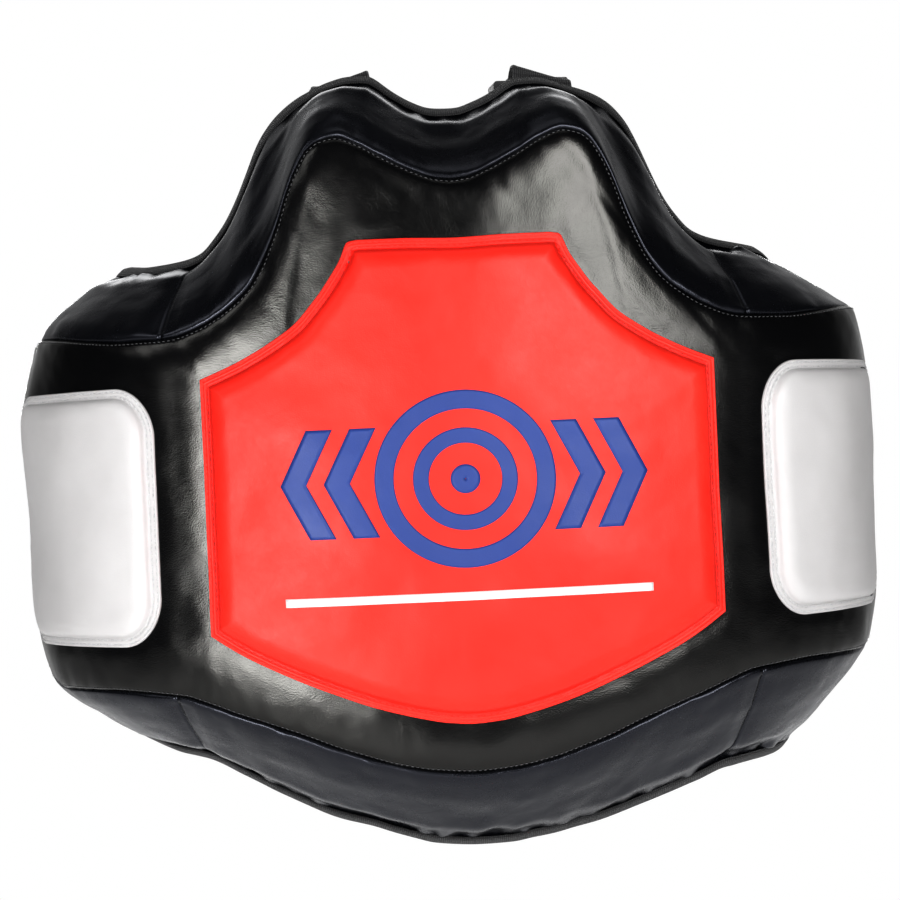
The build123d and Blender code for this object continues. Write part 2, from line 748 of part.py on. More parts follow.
with BuildPart() as right_waist_strap:
    for pl in strap_planes(waist_path(1, T_END + 0.1)):
        with BuildSketch(pl):
            Rectangle(WEB_W, WEB_T)
    loft(ruled=True)
right_waist_strap.part.label = "right waist strap"
export_step(right_waist_strap.part, "parts/right_waist_strap.step")

# ---- side-release buckles -------------------------------------------------------------
with BuildPart() as right_buckle_housing:
    with BuildSketch(right_plane):
        with BuildLine():
            Polyline(*HOUSING, close=True)
        make_face()
    extrude(amount=6.2, both=True)
    with BuildSketch(right_plane):
        with Locations((0.5, 0)):
            Rectangle(30, 40)
        with Locations((-8.5, 0)):
            Rectangle(12, 60)
    extrude(amount=3.9, both=True, mode=Mode.SUBTRACT)
    with BuildSketch(right_plane):
        with Locations((-19.5, 0)):
            Rectangle(4, 39)
    extrude(amount=8, both=True, mode=Mode.SUBTRACT)
right_buckle_housing.part.label = "right buckle housing"
export_step(right_buckle_housing.part, "parts/right_buckle_housing.step")

with BuildPart() as right_buckle_tongue:
    with BuildSketch(right_plane):
        with BuildLine():
            Polyline(*TONGUE, close=True)
        make_face()
    extrude(amount=5.0, both=True)
    with BuildSketch(right_plane):
        with Locations((1.9, 0)):
            Rectangle(25, 7)
    extrude(amount=3.4, both=True)
    with BuildSketch(right_plane):
        with Locations((38.0, 0)):
            Rectangle(4, 39)
    extrude(amount=8, both=True, mode=Mode.SUBTRACT)
right_buckle_tongue.part.label = "right buckle tongue"
export_step(right_buckle_tongue.part, "parts/right_buckle_tongue.step")

with BuildPart() as right_buckle_arm_a:
    with BuildSketch(right_plane):
        with BuildLine():
            Polyline(*ARM, close=True)
        make_face()
        with Locations(PIVOT):
            Circle(2.5)
    extrude(amount=3.3, both=True)
right_buckle_arm_a.part.label = "right buckle latch arm a"
export_step(right_buckle_arm_a.part, "parts/right_buckle_arm_a.step")

with BuildPart() as right_buckle_arm_b:
    with BuildSketch(right_plane):
        with BuildLine():
            Polyline(*ARM_LOW, close=True)
        make_face()
        with Locations((PIVOT[0], -PIVOT[1])):
            Circle(2.5)
    extrude(amount=3.3, both=True)
right_buckle_arm_b.part.label = "right buckle latch arm b"
export_step(right_buckle_arm_b.part, "parts/right_buckle_arm_b.step")

with BuildPart() as left_buckle_housing:
    with BuildSketch(left_plane):
        with BuildLine():
            Polyline(*HOUSING, close=True)
        make_face()
    extrude(amount=6.2, both=True)
    with BuildSketch(left_plane):
        with Locations((0.5, 0)):
            Rectangle(30, 40)
        with Locations((-8.5, 0)):
            Rectangle(12, 60)
    extrude(amount=3.9, both=True, mode=Mode.SUBTRACT)
    with BuildSketch(left_plane):
        with Locations((-19.5, 0)):
            Rectangle(4, 39)
    extrude(amount=8, both=True, mode=Mode.SUBTRACT)
left_buckle_housing.part.label = "left buckle housing"
export_step(left_buckle_housing.part, "parts/left_buckle_housing.step")

with BuildPart() as left_buckle_tongue:
    with BuildSketch(left_plane):
        with BuildLine():
            Polyline(*TONGUE, close=True)
        make_face()
    extrude(amount=5.0, both=True)
    with BuildSketch(left_plane):
        with Locations((1.9, 0)):
            Rectangle(25, 7)
    extrude(amount=3.4, both=True)
    with BuildSketch(left_plane):
        with Locations((38.0, 0)):
            Rectangle(4, 39)
    extrude(amount=8, both=True, mode=Mode.SUBTRACT)
left_buckle_tongue.part.label = "left buckle tongue"
export_step(left_buckle_tongue.part, "parts/left_buckle_tongue.step")

with BuildPart() as left_buckle_arm_a:
    with BuildSketch(left_plane):
        with BuildLine():
            Polyline(*ARM, close=True)
        make_face()
        with Locations(PIVOT):
            Circle(2.5)
    extrude(amount=3.3, both=True)
left_buckle_arm_a.part.label = "left buckle latch arm a"
export_step(left_buckle_arm_a.part, "parts/left_buckle_arm_a.step")

with BuildPart() as left_buckle_arm_b:
    with BuildSketch(left_plane):
        with BuildLine():
            Polyline(*ARM_LOW, close=True)
        make_face()
        with Locations((PIVOT[0], -PIVOT[1])):
            Circle(2.5)
    extrude(amount=3.3, both=True)
left_buckle_arm_b.part.label = "left buckle latch arm b"
export_step(left_buckle_arm_b.part, "parts/left_buckle_arm_b.step")

with BuildPart() as waist_buckle_housing:
    with BuildSketch(waist_plane):
        with BuildLine():
            Polyline(*HOUSING, close=True)
        make_face()
    extrude(amount=6.2, both=True)
    with BuildSketch(waist_plane):
        with Locations((0.5, 0)):
            Rectangle(30, 40)
        with Locations((-8.5, 0)):
            Rectangle(12, 60)
    extrude(amount=3.9, both=True, mode=Mode.SUBTRACT)
    with BuildSketch(waist_plane):
        with Locations((-19.5, 0)):
            Rectangle(4, 39)
    extrude(amount=8, both=True, mode=Mode.SUBTRACT)
waist_buckle_housing.part.label = "waist buckle housing"
export_step(waist_buckle_housing.part, "parts/waist_buckle_housing.step")

with BuildPart() as waist_buckle_tongue:
    with BuildSketch(waist_plane):
        with BuildLine():
            Polyline(*TONGUE, close=True)
        make_face()
    extrude(amount=5.0, both=True)
    with BuildSketch(waist_plane):
        with Locations((1.9, 0)):
            Rectangle(25, 7)
    extrude(amount=3.4, both=True)
    with BuildSketch(waist_plane):
        with Locations((38.0, 0)):
            Rectangle(4, 39)
    extrude(amount=8, both=True, mode=Mode.SUBTRACT)
waist_buckle_tongue.part.label = "waist buckle tongue"
export_step(waist_buckle_tongue.part, "parts/waist_buckle_tongue.step")

with BuildPart() as waist_buckle_arm_a:
    with BuildSketch(waist_plane):
        with BuildLine():
            Polyline(*ARM, close=True)
        make_face()
        with Locations(PIVOT):
            Circle(2.5)
    extrude(amount=3.3, both=True)
waist_buckle_arm_a.part.label = "waist buckle latch arm a"
export_step(waist_buckle_arm_a.part, "parts/waist_buckle_arm_a.step")

with BuildPart() as waist_buckle_arm_b:
    with BuildSketch(waist_plane):
        with BuildLine():
            Polyline(*ARM_LOW, close=True)
        make_face()
        with Locations((PIVOT[0], -PIVOT[1])):
            Circle(2.5)
    extrude(amount=3.3, both=True)
waist_buckle_arm_b.part.label = "waist buckle latch arm b"
export_step(waist_buckle_arm_b.part, "parts/waist_buckle_arm_b.step")

# ---- sliders on the webbing -----------------------------------------------------------
_, sx, sy, st = plan(64.0)
left_run = Plane(origin=(-(sx - 60 * sin(st)), sy + 60 * cos(st), 237), x_dir=(cos(st), -sin(st), 0), z_dir=(sin(st), cos(st), 0))
right_run = Plane(origin=(sx - 60 * sin(st), sy + 60 * cos(st), 237), x_dir=(cos(st), sin(st), 0), z_dir=(-sin(st), cos(st), 0))
with BuildPart() as left_strap_slider:
    with BuildSketch(left_run):
        RectangleRounded(46, 7.6, 2.4)
        Rectangle(WEB_W + 1.2, WEB_T + 0.8, mode=Mode.SUBTRACT)
    extrude(amount=11, both=True)
left_strap_slider.part.label = "left strap slider"
export_step(left_strap_slider.part, "parts/left_strap_slider.step")

with BuildPart() as right_strap_slider:
    with BuildSketch(right_run):
        RectangleRounded(46, 7.6, 2.4)
        Rectangle(WEB_W + 1.2, WEB_T + 0.8, mode=Mode.SUBTRACT)
    extrude(amount=11, both=True)
right_strap_slider.part.label = "right strap slider"
export_step(right_strap_slider.part, "parts/right_strap_slider.step")

with BuildPart() as waist_strap_keeper:
    with BuildSketch(Plane(origin=(-80, c4y + R_BACK + INNER, WAIST_Z), x_dir=(0, 0, 1), z_dir=(1, 0, 0))):
        RectangleRounded(45, 7.0, 2.2)
        Rectangle(WEB_W + 1.2, WEB_T + 0.8, mode=Mode.SUBTRACT)
    extrude(amount=7, both=True)
waist_strap_keeper.part.label = "waist strap keeper"
export_step(waist_strap_keeper.part, "parts/waist_strap_keeper.step")
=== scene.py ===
# Trainer belly pad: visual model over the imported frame. Lengths below are in millimetres
# until a mesh is made; the mesh maker turns them into metres.
import bpy, bmesh, math
import numpy as np
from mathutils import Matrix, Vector


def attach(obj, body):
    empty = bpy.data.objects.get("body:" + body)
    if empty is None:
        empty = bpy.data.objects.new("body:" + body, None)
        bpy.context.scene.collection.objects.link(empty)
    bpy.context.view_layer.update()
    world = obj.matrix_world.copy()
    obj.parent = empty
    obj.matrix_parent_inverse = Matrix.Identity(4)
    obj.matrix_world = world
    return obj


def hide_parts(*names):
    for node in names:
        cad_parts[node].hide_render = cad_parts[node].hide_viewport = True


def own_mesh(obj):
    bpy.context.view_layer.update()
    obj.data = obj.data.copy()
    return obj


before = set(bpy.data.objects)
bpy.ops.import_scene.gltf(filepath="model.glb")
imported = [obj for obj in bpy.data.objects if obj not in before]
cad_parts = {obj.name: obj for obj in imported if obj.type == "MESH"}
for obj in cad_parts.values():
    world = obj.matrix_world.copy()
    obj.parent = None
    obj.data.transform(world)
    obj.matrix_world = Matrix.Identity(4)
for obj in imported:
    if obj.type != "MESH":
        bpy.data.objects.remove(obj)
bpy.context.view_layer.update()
scene = bpy.context.scene
rng = np.random.default_rng(7)

# ------------------------------------------------------------------ shared shape
R_FRONT, R_SIDE, R_WING, R_BACK = 629.0, 75.0, 260.0, 62.5
a1, a2, a3 = math.radians(14), math.radians(78), math.radians(95)
U1 = R_FRONT * a1
U2 = U1 + R_SIDE * (a2 - a1)
U_OUT = U2 + R_WING * math.radians(9)
U_IN = U2 + R_WING * (a3 - a2)
U4 = U_IN + R_BACK * (math.pi - a3)
U_E = U_IN + 2.0
c2x = R_FRONT * math.sin(a1) - R_SIDE * math.sin(a1)
c2y = R_FRONT * (1 - math.cos(a1)) + R_SIDE * math.cos(a1)
c3x = c2x + (R_SIDE - R_WING) * math.sin(a2)
c3y = c2y - (R_SIDE - R_WING) * math.cos(a2)
c4x = c3x + (R_WING - R_BACK) * math.sin(a3)
c4y = c3y - (R_WING - R_BACK) * math.cos(a3)
U_CENTRE = U4 + c4x
SEAM_U = 158.0


def plan(u):
    u = np.asarray(u, float)
    v = np.abs(u)
    s = np.where(u < 0, -1.0, 1.0)
    t = np.where(v <= U1, v / R_FRONT, np.where(v <= U2, a1 + (v - U1) / R_SIDE, np.where(
        v <= U_IN, a2 + (v - U2) / R_WING, np.where(v <= U4, a3 + (v - U_IN) / R_BACK, math.pi))))
    r = np.where(v <= U1, R_FRONT, np.where(v <= U2, R_SIDE, np.where(v <= U_IN, R_WING, R_BACK)))
    cx = np.where(v <= U1, 0.0, np.where(v <= U2, c2x, np.where(v <= U_IN, c3x, c4x)))
    cy = np.where(v <= U1, R_FRONT, np.where(v <= U2, c2y, np.where(v <= U_IN, c3y, c4y)))
    x = cx + r * np.sin(t) - np.maximum(v - U4, 0.0)
    y = cy - r * np.cos(t)
    return s, x, y, t


def P(u, n, z):
    s, x, y, t = plan(u)
    u, n, z = np.broadcast_arrays(np.asarray(u, float), np.asarray(n, float), np.asarray(z, float))
    return np.stack([s * (x + n * np.sin(t)), y - n * np.cos(t), z + 0 * u], -1)


def smooth_table(table):
    x = np.array([p[0] for p in table], float)
    y = np.array([p[1] for p in table], float)
    d = np.diff(y) / np.diff(x)
    m = np.zeros(len(x))
    for i in range(1, len(x) - 1):
        if d[i - 1] * d[i] > 0:
            w1, w2 = 2 * (x[i + 1] - x[i]) + (x[i] - x[i - 1]), (x[i + 1] - x[i]) + 2 * (x[i] - x[i - 1])
            m[i] = (w1 + w2) / (w1 / d[i - 1] + w2 / d[i])
    m[-1] = d[-1]

    def f(u):
        v = np.clip(np.abs(np.asarray(u, float)), x[0], x[-1])
        i = np.clip(np.searchsorted(x, v, side="right") - 1, 0, len(x) - 2)
        h = x[i + 1] - x[i]
        t = (v - x[i]) / h
        return ((2 * t ** 3 - 3 * t ** 2 + 1) * y[i] + (t ** 3 - 2 * t ** 2 + t) * h * m[i]
                + (-2 * t ** 3 + 3 * t ** 2) * y[i + 1] + (t ** 3 - t ** 2) * h * m[i + 1])
    return f


_seam_t = smooth_table([(0, 165.5), (8, 166.5), (20, 171.5), (37, 181.3), (50, 189.5), (61, 193.5), (70, 191.5), (76, 187),
                       (82, 177), (88, 162), (94, 143), (99, 129.5), (105, 116), (112.5, 104.5), (124, 94), (136, 86.3),
                       (149, 81), (160, 79), (172, 79.01), (186, 81), (205, 84.5), (221, 86), (230, 82), (238, 74),
                       (247, 65), (260, 57), (278.4, 52)])
_seam_b = smooth_table([(0, -186.5), (20, -185), (40, -181), (62, -173.5), (75, -168.5), (88, -162.5), (100, -157.5),
                       (115, -151.5), (127, -147), (142, -140.5), (160, -134.5), (181, -132), (207, -132.5), (278.4, -133)])
_edge_t = smooth_table([(0, 215), (8, 215.5), (18, 219), (33, 228), (41, 234.5), (46, 237.5), (57, 237.5), (67, 235.5),
                        (80, 230.5), (90, 225.5), (98.5, 220), (106, 213.5), (113.5, 203.5), (121.5, 186), (128.5, 170),
                        (135.5, 157), (143.5, 146), (153.5, 135.5), (166, 130.5), (185, 127.5), (205, 126), (230, 124.5),
                        (262, 120.5), (278.4, 117.5), (290, 114), (302, 107), (309, 101), (314.7, 93), (317, 88)])
_edge_b = smooth_table([(0, -238), (24, -237), (36, -234.5), (50, -231), (62, -227), (84, -221), (113, -209.5),
                        (143, -197), (165, -188), (185, -186), (230, -183), (262, -179.5), (278.4, -176), (290, -172),
                        (302, -165), (309, -159), (314.7, -151), (317, -146)])


def seam_t(u):
    # the upper seam falls away at the wing ends, less on the left
    u = np.asarray(u, float)
    v = np.abs(u)
    return _seam_t(u) + np.where(u < 0, 0.62, 0.0) * np.interp(v, [0, 221, 230, 238, 247, 260, 278, 317], [0, 0, 4.5, 12.5, 22, 30, 36, 36])


def seam_b(u):
    # the lower seam turns up towards the wing ends, more on the left
    u = np.asarray(u, float)
    v = np.abs(u)
    return _seam_b(u) + np.where(u < 0, 1.0, 0.5) * np.interp(v, [214, 226, 238, 250, 265, 317], [0, 4, 12, 19, 24, 26])


def edge_t(u):
    # the sewn edge is not quite the same on both sides, as on any stuffed piece
    u = np.asarray(u, float)
    v = np.abs(u)
    left = np.interp(v, [0, 90, 120, 150, 200, 225, 270, 317], [0, 0, -2.5, -2.0, 1.0, 5.0, 6.0, 4.0])
    right = np.interp(v, [0, 20, 45, 75, 100, 122, 140, 210, 235, 290, 317], [0, -1, -4.5, -4.5, 0, 3, 0.5, 0, -4.5, -7, -4])
    return _edge_t(u) + np.where(u < 0, left, right)


def edge_b(u):
    u = np.asarray(u, float)
    v = np.abs(u)
    left = np.interp(v, [0, 44, 70, 96, 121, 150, 185, 215, 245, 275, 317], [0, 2.0, 3, 4.5, 5.5, 9, 10, 14, 16, 15, 12])
    right = np.interp(v, [0, 34, 60, 86, 111, 137, 168, 200, 232, 265, 317], [0, -1, -3, -5, -8, -10, -14, -13, -11, -7, -2])
    wob = 1.1 * np.sin(u / 17.0 + 1.0) * np.sin(u / 41.0) * np.clip(v / 80.0, 0.3, 1) * np.clip((316 - v) / 40.0, 0, 1)
    return _edge_b(u) + np.where(u < 0, left, right) + wob


pad_t = smooth_table([(0, 130.3), (28, 131.3), (50, 131.5), (56, 130.5), (61, 119.5), (66, 111), (72, 101.5), (77, 95),
                      (82, 88.5), (86, 84), (90, 80.5), (94, 77.5), (99, 74), (105, 70), (112, 66), (119.5, 62), (128, 58),
                      (138.5, 53.5)])
pad_b = smooth_table([(0, -156.8), (14, -155.6), (28, -152.5), (50, -145.8), (77, -134.6), (99, -124), (119.5, -112.5),
                      (129.5, -105.8), (138.5, -99)])


def depth(u):
    v = np.abs(np.asarray(u, float))
    d = np.interp(v, [0, 140, 160, 225, 240, U_OUT, U_IN], [72, 72, 70.6, 60.9, 60, 60, 14])
    return d


def top_out(u):
    v = np.abs(np.asarray(u, float))
    s = np.where(np.asarray(u, float) < 0, -1.0, 1.0)
    return np.where(v <= U_OUT, seam_t(v), edge_t(u) - (edge_t(s * U_OUT) - seam_t(U_OUT)) * depth(v) / 60.0)


def bottom_out(u):
    v = np.abs(np.asarray(u, float))
    s = np.where(np.asarray(u, float) < 0, -1.0, 1.0)
    return np.where(v <= U_OUT, seam_b(v), edge_b(u) - (edge_b(s * U_OUT) - seam_b(U_OUT)) * depth(v) / 60.0)


def sstep(x):
    x = np.clip(x, 0, 1)
    return x * x * (3 - 2 * x)


# smooth seeded noise on a lattice, used for every displacement
class Field:
    def __init__(self, seed, n=64):
        self.g = np.random.default_rng(seed).uniform(-1, 1, (n, n))
        self.n = n

    def __call__(self, x, y):
        n = self.n
        xi, yi = np.floor(x).astype(int), np.floor(y).astype(int)
        fx, fy = x - xi, y - yi
        fx, fy = fx * fx * fx * (fx * (fx * 6 - 15) + 10), fy * fy * fy * (fy * (fy * 6 - 15) + 10)
        g = self.g
        a, b = g[xi % n, yi % n], g[(xi + 1) % n, yi % n]
        c, d = g[xi % n, (yi + 1) % n], g[(xi + 1) % n, (yi + 1) % n]
        return (a * (1 - fx) + b * fx) * (1 - fy) + (c * (1 - fx) + d * fx) * fy


f1, f2, f3, f4, f5 = Field(1), Field(2), Field(3), Field(4), Field(5)


def waves(x, y, scale):
    return f1(x / scale + 11, y / scale + 5) + 0.5 * f2(x / scale * 2.1 + 3, y / scale * 2.1 + 7) + 0.25 * f3(
        x / scale * 4.3, y / scale * 4.3 + 2)


class Folds:
    # creases that start at an edge and run in from it
    def __init__(self, seed, count, lo, hi, reach, amp, width, spots=()):
        r = np.random.default_rng(seed)
        c = list(r.uniform(lo, hi, count))
        for at, spread, k in spots:
            c += list(r.normal(at, spread, k))
        self.c = np.array(c)
        k = len(self.c)
        self.m = r.uniform(-0.55, 0.55, k)
        self.l = r.uniform(0.45, 1.0, k) * reach
        self.a = r.uniform(0.35, 1.0, k) * amp * r.choice([1, 1, -0.6], k)
        self.w = r.uniform(0.6, 1.35, k) * width

    def __call__(self, u, dist):
        h = np.zeros(np.broadcast(u, dist).shape)
        for c, m, l, a, w in zip(self.c, self.m, self.l, self.a, self.w):
            x = (u - c - m * dist) / (w * (1 + dist / 25.0))
            near = np.abs(x) < 3.2
            if near.any():
                h = h + np.where(near, a * np.exp(-x * x) * np.clip(1 - dist / l, 0, 1) ** 1.3, 0)
        return h


# ------------------------------------------------------------------ mesh makers
def new_object(name, verts, faces, uv=None, smooth=True):
    me = bpy.data.meshes.new(name)
    me.from_pydata((np.asarray(verts, float) / 1000.0).tolist(), [], faces)
    me.validate()
    if uv is not None:
        layer = me.uv_layers.new(name="UVMap")
        idx = np.zeros(len(me.loops), int)
        me.loops.foreach_get("vertex_index", idx)
        layer.data.foreach_set("uv", np.asarray(uv, float)[idx].astype(np.float32).ravel() / 1000.0)
    me.polygons.foreach_set("use_smooth", [smooth] * len(me.polygons))
    ob = bpy.data.objects.new(name, me)
    scene.collection.objects.link(ob)
    return ob


def grid_faces(r, c, off=0, flip=False, wrap=False):
    faces = []
    for i in range(r - 1):
        for j in range(c if wrap else c - 1):
            k = (j + 1) % c
            q = (off + i * c + j, off + i * c + k, off + (i + 1) * c + k, off + (i + 1) * c + j)
            faces.append(q[::-1] if flip else q)
    return faces


def grids(name, parts, merge=0.08, uvs=None):
    verts, faces, uv = [], [], []
    off = 0
    for i, (g, flip) in enumerate(parts):
        r, c = g.shape[:2]
        verts.append(g.reshape(-1, 3))
        faces += grid_faces(r, c, off, flip)
        if uvs is not None:
            uv.append(uvs[i].reshape(-1, 2))
        off += r * c
    ob = new_object(name, np.concatenate(verts), faces, np.concatenate(uv) if uv else None)
    if merge:
        bm = bmesh.new()
        bm.from_mesh(ob.data)
        bmesh.ops.remove_doubles(bm, verts=bm.verts, dist=merge / 1000.0)
        bmesh.ops.dissolve_degenerate(bm, dist=1e-6, edges=bm.edges)
        bm.to_mesh(ob.data)
        bm.free()
    return ob


def thicken(ob, mm, offset=-1.0):
    m = ob.modifiers.new("thickness", "SOLIDIFY")
    m.thickness = mm / 1000.0
    m.offset = offset
    m.use_even_offset = False
    return ob


def set_mat(ob, *mats):
    ob.data.materials.clear()
    for m in mats:
        ob.data.materials.append(m)
    return ob


def done(ob, mat, body="vest", nodes=()):
    set_mat(ob, mat)
    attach(ob, body)
    if nodes:
        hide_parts(*nodes)
    return ob


# ------------------------------------------------------------------ materials
def base_material(name, **sockets):
    m = bpy.data.materials.new(name)
    m.use_nodes = True
    nt = m.node_tree
    b = nt.nodes["Principled BSDF"]
    for k, v in sockets.items():
        key = k.replace("_", " ")
        b.inputs[key].default_value = v
    return m, nt, b


def node(nt, kind, **kw):
    n = nt.nodes.new(kind)
    for k, v in kw.items():
        if k in n.inputs:
            n.inputs[k].default_value = v
        else:
            setattr(n, k, v)
    return n


def ramp(nt, src, stops):
    r = nt.nodes.new("ShaderNodeValToRGB")
    e = r.color_ramp.elements
    e[0].position, e[0].color = stops[0][0], (*stops[0][1], 1)
    e[1].position, e[1].color = stops[-1][0], (*stops[-1][1], 1)
    for p, c in stops[1:-1]:
        x = e.new(p)
        x.color = (*c, 1)
    nt.links.new(src, r.inputs[0])
    return r.outputs[0]


def map_range(nt, src, a, b, c, d):
    r = node(nt, "ShaderNodeMapRange")
    for i, v in zip((1, 2, 3, 4), (a, b, c, d)):
        r.inputs[i].default_value = v
    nt.links.new(src, r.inputs[0])
    return r.outputs[0]


def math_node(nt, op, a, b):
    n = nt.nodes.new("ShaderNodeMath")
    n.operation = op
    for i, v in enumerate((a, b)):
        if isinstance(v, (int, float)):
            n.inputs[i].default_value = v
        else:
            nt.links.new(v, n.inputs[i])
    return n.outputs[0]


def leather(name, dark, light, rough=(0.3, 0.45), grain=1000.0, grain_bump=0.12, crease_bump=0.25, crease=55.0,
            spec=0.5, coat=0.0, coat_rough=0.3, scuff=0.0):
    m, nt, b = base_material(name, Specular_IOR_Level=spec, Coat_Weight=coat, Coat_Roughness=coat_rough)
    tc = nt.nodes.new("ShaderNodeTexCoord")
    big = node(nt, "ShaderNodeTexNoise", Scale=9.0, Detail=4.0, Roughness=0.55)
    nt.links.new(tc.outputs["Object"], big.inputs["Vector"])
    nt.links.new(ramp(nt, big.outputs[0], [(0.3, dark), (0.72, light)]), b.inputs["Base Color"])
    mid = node(nt, "ShaderNodeTexNoise", Scale=38.0, Detail=5.0, Roughness=0.6)
    nt.links.new(tc.outputs["Object"], mid.inputs["Vector"])
    fine = node(nt, "ShaderNodeTexNoise", Scale=420.0, Detail=3.0, Roughness=0.6)
    nt.links.new(tc.outputs["Object"], fine.inputs["Vector"])
    mixed = math_node(nt, "ADD", math_node(nt, "MULTIPLY", mid.outputs[0], 0.65), math_node(nt, "MULTIPLY", fine.outputs[0], 0.35))
    nt.links.new(map_range(nt, mixed, 0.32, 0.68, rough[0], rough[1]), b.inputs["Roughness"])
    cell = node(nt, "ShaderNodeTexVoronoi", Scale=grain, feature="SMOOTH_F1", Randomness=1.0)
    cell.inputs["Smoothness"].default_value = 0.35
    nt.links.new(tc.outputs["Object"], cell.inputs["Vector"])
    pore = node(nt, "ShaderNodeTexNoise", Scale=grain * 2.3, Detail=2.0)
    nt.links.new(tc.outputs["Object"], pore.inputs["Vector"])
    tex = math_node(nt, "ADD", cell.outputs["Distance"], math_node(nt, "MULTIPLY", pore.outputs[0], 0.5))
    fold = node(nt, "ShaderNodeTexNoise", Scale=crease, Detail=3.0, Roughness=0.5, Distortion=0.6)
    nt.links.new(tc.outputs["Object"], fold.inputs["Vector"])
    b1 = node(nt, "ShaderNodeBump", Strength=crease_bump, Distance=0.0012)
    nt.links.new(fold.outputs[0], b1.inputs["Height"])
    b2 = node(nt, "ShaderNodeBump", Strength=grain_bump, Distance=0.0003)
    nt.links.new(tex, b2.inputs["Height"])
    nt.links.new(b1.outputs[0], b2.inputs["Normal"])
    nt.links.new(b2.outputs[0], b.inputs["Normal"])
    return m


def woven(name, dark, light, pitch_u=1.5, pitch_v=1.1, bump=0.6, rough=0.75, rib=1.0):
    m, nt, b = base_material(name, Specular_IOR_Level=0.35, Sheen_Weight=0.25, Sheen_Roughness=0.5)
    tc = nt.nodes.new("ShaderNodeTexCoord")
    wu = node(nt, "ShaderNodeTexWave", wave_type="BANDS", bands_direction="X", Scale=314.16 / pitch_u, Distortion=0.4, Detail=1.0)
    wu.inputs["Detail Scale"].default_value = 2.0
    wv = node(nt, "ShaderNodeTexWave", wave_type="BANDS", bands_direction="Y", Scale=314.16 / pitch_v, Distortion=0.3, Detail=1.0)
    for w in (wu, wv):
        nt.links.new(tc.outputs["UV"], w.inputs["Vector"])
    h = math_node(nt, "MULTIPLY", wu.outputs[1], wv.outputs[1])
    h = math_node(nt, "ADD", h, math_node(nt, "MULTIPLY", wv.outputs[1], 0.35 * rib))
    fuzz = node(nt, "ShaderNodeTexNoise", Scale=1400.0, Detail=2.0)
    nt.links.new(tc.outputs["Object"], fuzz.inputs["Vector"])
    h2 = math_node(nt, "ADD", h, math_node(nt, "MULTIPLY", fuzz.outputs[0], 0.4))
    # the colour follows the weave height: painted shade in the grooves between yarns, plus random fuzz tone
    nt.links.new(ramp(nt, h2, [(0.15, dark), (1.1 if False else 0.95, light)]), b.inputs["Base Color"])
    nt.links.new(map_range(nt, h2, 0.0, 1.4, rough + 0.12, rough - 0.12), b.inputs["Roughness"])
    bp = node(nt, "ShaderNodeBump", Strength=bump, Distance=0.0005)
    nt.links.new(h2, bp.inputs["Height"])
    nt.links.new(bp.outputs[0], b.inputs["Normal"])
    return m


def cloth(name, dark, light, scale=900.0, rough=0.8):
    m, nt, b = base_material(name, Specular_IOR_Level=0.3, Sheen_Weight=0.2, Sheen_Roughness=0.6)
    tc = nt.nodes.new("ShaderNodeTexCoord")
    mp = node(nt, "ShaderNodeMapping")
    mp.inputs["Scale"].default_value = (1.0, 1.0, 1.0)
    nt.links.new(tc.outputs["UV"], mp.inputs["Vector"])
    wu = node(nt, "ShaderNodeTexWave", wave_type="BANDS", bands_direction="DIAGONAL", Scale=314.16 / 1.3, Distortion=0.6, Detail=1.0)
    nt.links.new(mp.outputs[0], wu.inputs["Vector"])
    nz = node(nt, "ShaderNodeTexNoise", Scale=scale, Detail=3.0)
    nt.links.new(tc.outputs["Object"], nz.inputs["Vector"])
    big = node(nt, "ShaderNodeTexNoise", Scale=14.0, Detail=3.0)
    nt.links.new(tc.outputs["Object"], big.inputs["Vector"])
    h = math_node(nt, "ADD", math_node(nt, "MULTIPLY", wu.outputs[1], 0.6), math_node(nt, "MULTIPLY", nz.outputs[0], 0.6))
    # colour is half weave height, which paints shade into the weave's grooves, and half random large-scale tone
    c = math_node(nt, "ADD", math_node(nt, "MULTIPLY", h, 0.5), math_node(nt, "MULTIPLY", big.outputs[0], 0.5))
    nt.links.new(ramp(nt, c, [(0.25, dark), (0.8, light)]), b.inputs["Base Color"])
    nt.links.new(map_range(nt, h, 0.0, 1.2, rough + 0.1, rough - 0.1), b.inputs["Roughness"])
    bp = node(nt, "ShaderNodeBump", Strength=0.45, Distance=0.0004)
    nt.links.new(h, bp.inputs["Height"])
    nt.links.new(bp.outputs[0], b.inputs["Normal"])
    return m


def plastic(name, dark, light, rough=(0.38, 0.55)):
    m, nt, b = base_material(name, Specular_IOR_Level=0.5)
    tc = nt.nodes.new("ShaderNodeTexCoord")
    n1 = node(nt, "ShaderNodeTexNoise", Scale=60.0, Detail=4.0)
    n2 = node(nt, "ShaderNodeTexNoise", Scale=1600.0, Detail=2.0)
    for n in (n1, n2):
        nt.links.new(tc.outputs["Object"], n.inputs["Vector"])
    nt.links.new(ramp(nt, n1.outputs[0], [(0.3, dark), (0.7, light)]), b.inputs["Base Color"])
    nt.links.new(map_range(nt, n1.outputs[0], 0.3, 0.7, rough[0], rough[1]), b.inputs["Roughness"])
    bp = node(nt, "ShaderNodeBump", Strength=0.25, Distance=0.00015)
    nt.links.new(n2.outputs[0], bp.inputs["Height"])
    nt.links.new(bp.outputs[0], b.inputs["Normal"])
    return m


def thread(name, dark, light):
    m, nt, b = base_material(name, Specular_IOR_Level=0.4, Sheen_Weight=0.2)
    tc = nt.nodes.new("ShaderNodeTexCoord")
    n1 = node(nt, "ShaderNodeTexNoise", Scale=900.0, Detail=3.0)
    nt.links.new(tc.outputs["Object"], n1.inputs["Vector"])
    nt.links.new(ramp(nt, n1.outputs[0], [(0.3, dark), (0.7, light)]), b.inputs["Base Color"])
    nt.links.new(map_range(nt, n1.outputs[0], 0.3, 0.7, 0.45, 0.65), b.inputs["Roughness"])
    bp = node(nt, "ShaderNodeBump", Strength=0.5, Distance=0.0002)
    nt.links.new(n1.outputs[0], bp.inputs["Height"])
    nt.links.new(bp.outputs[0], b.inputs["Normal"])
    return m


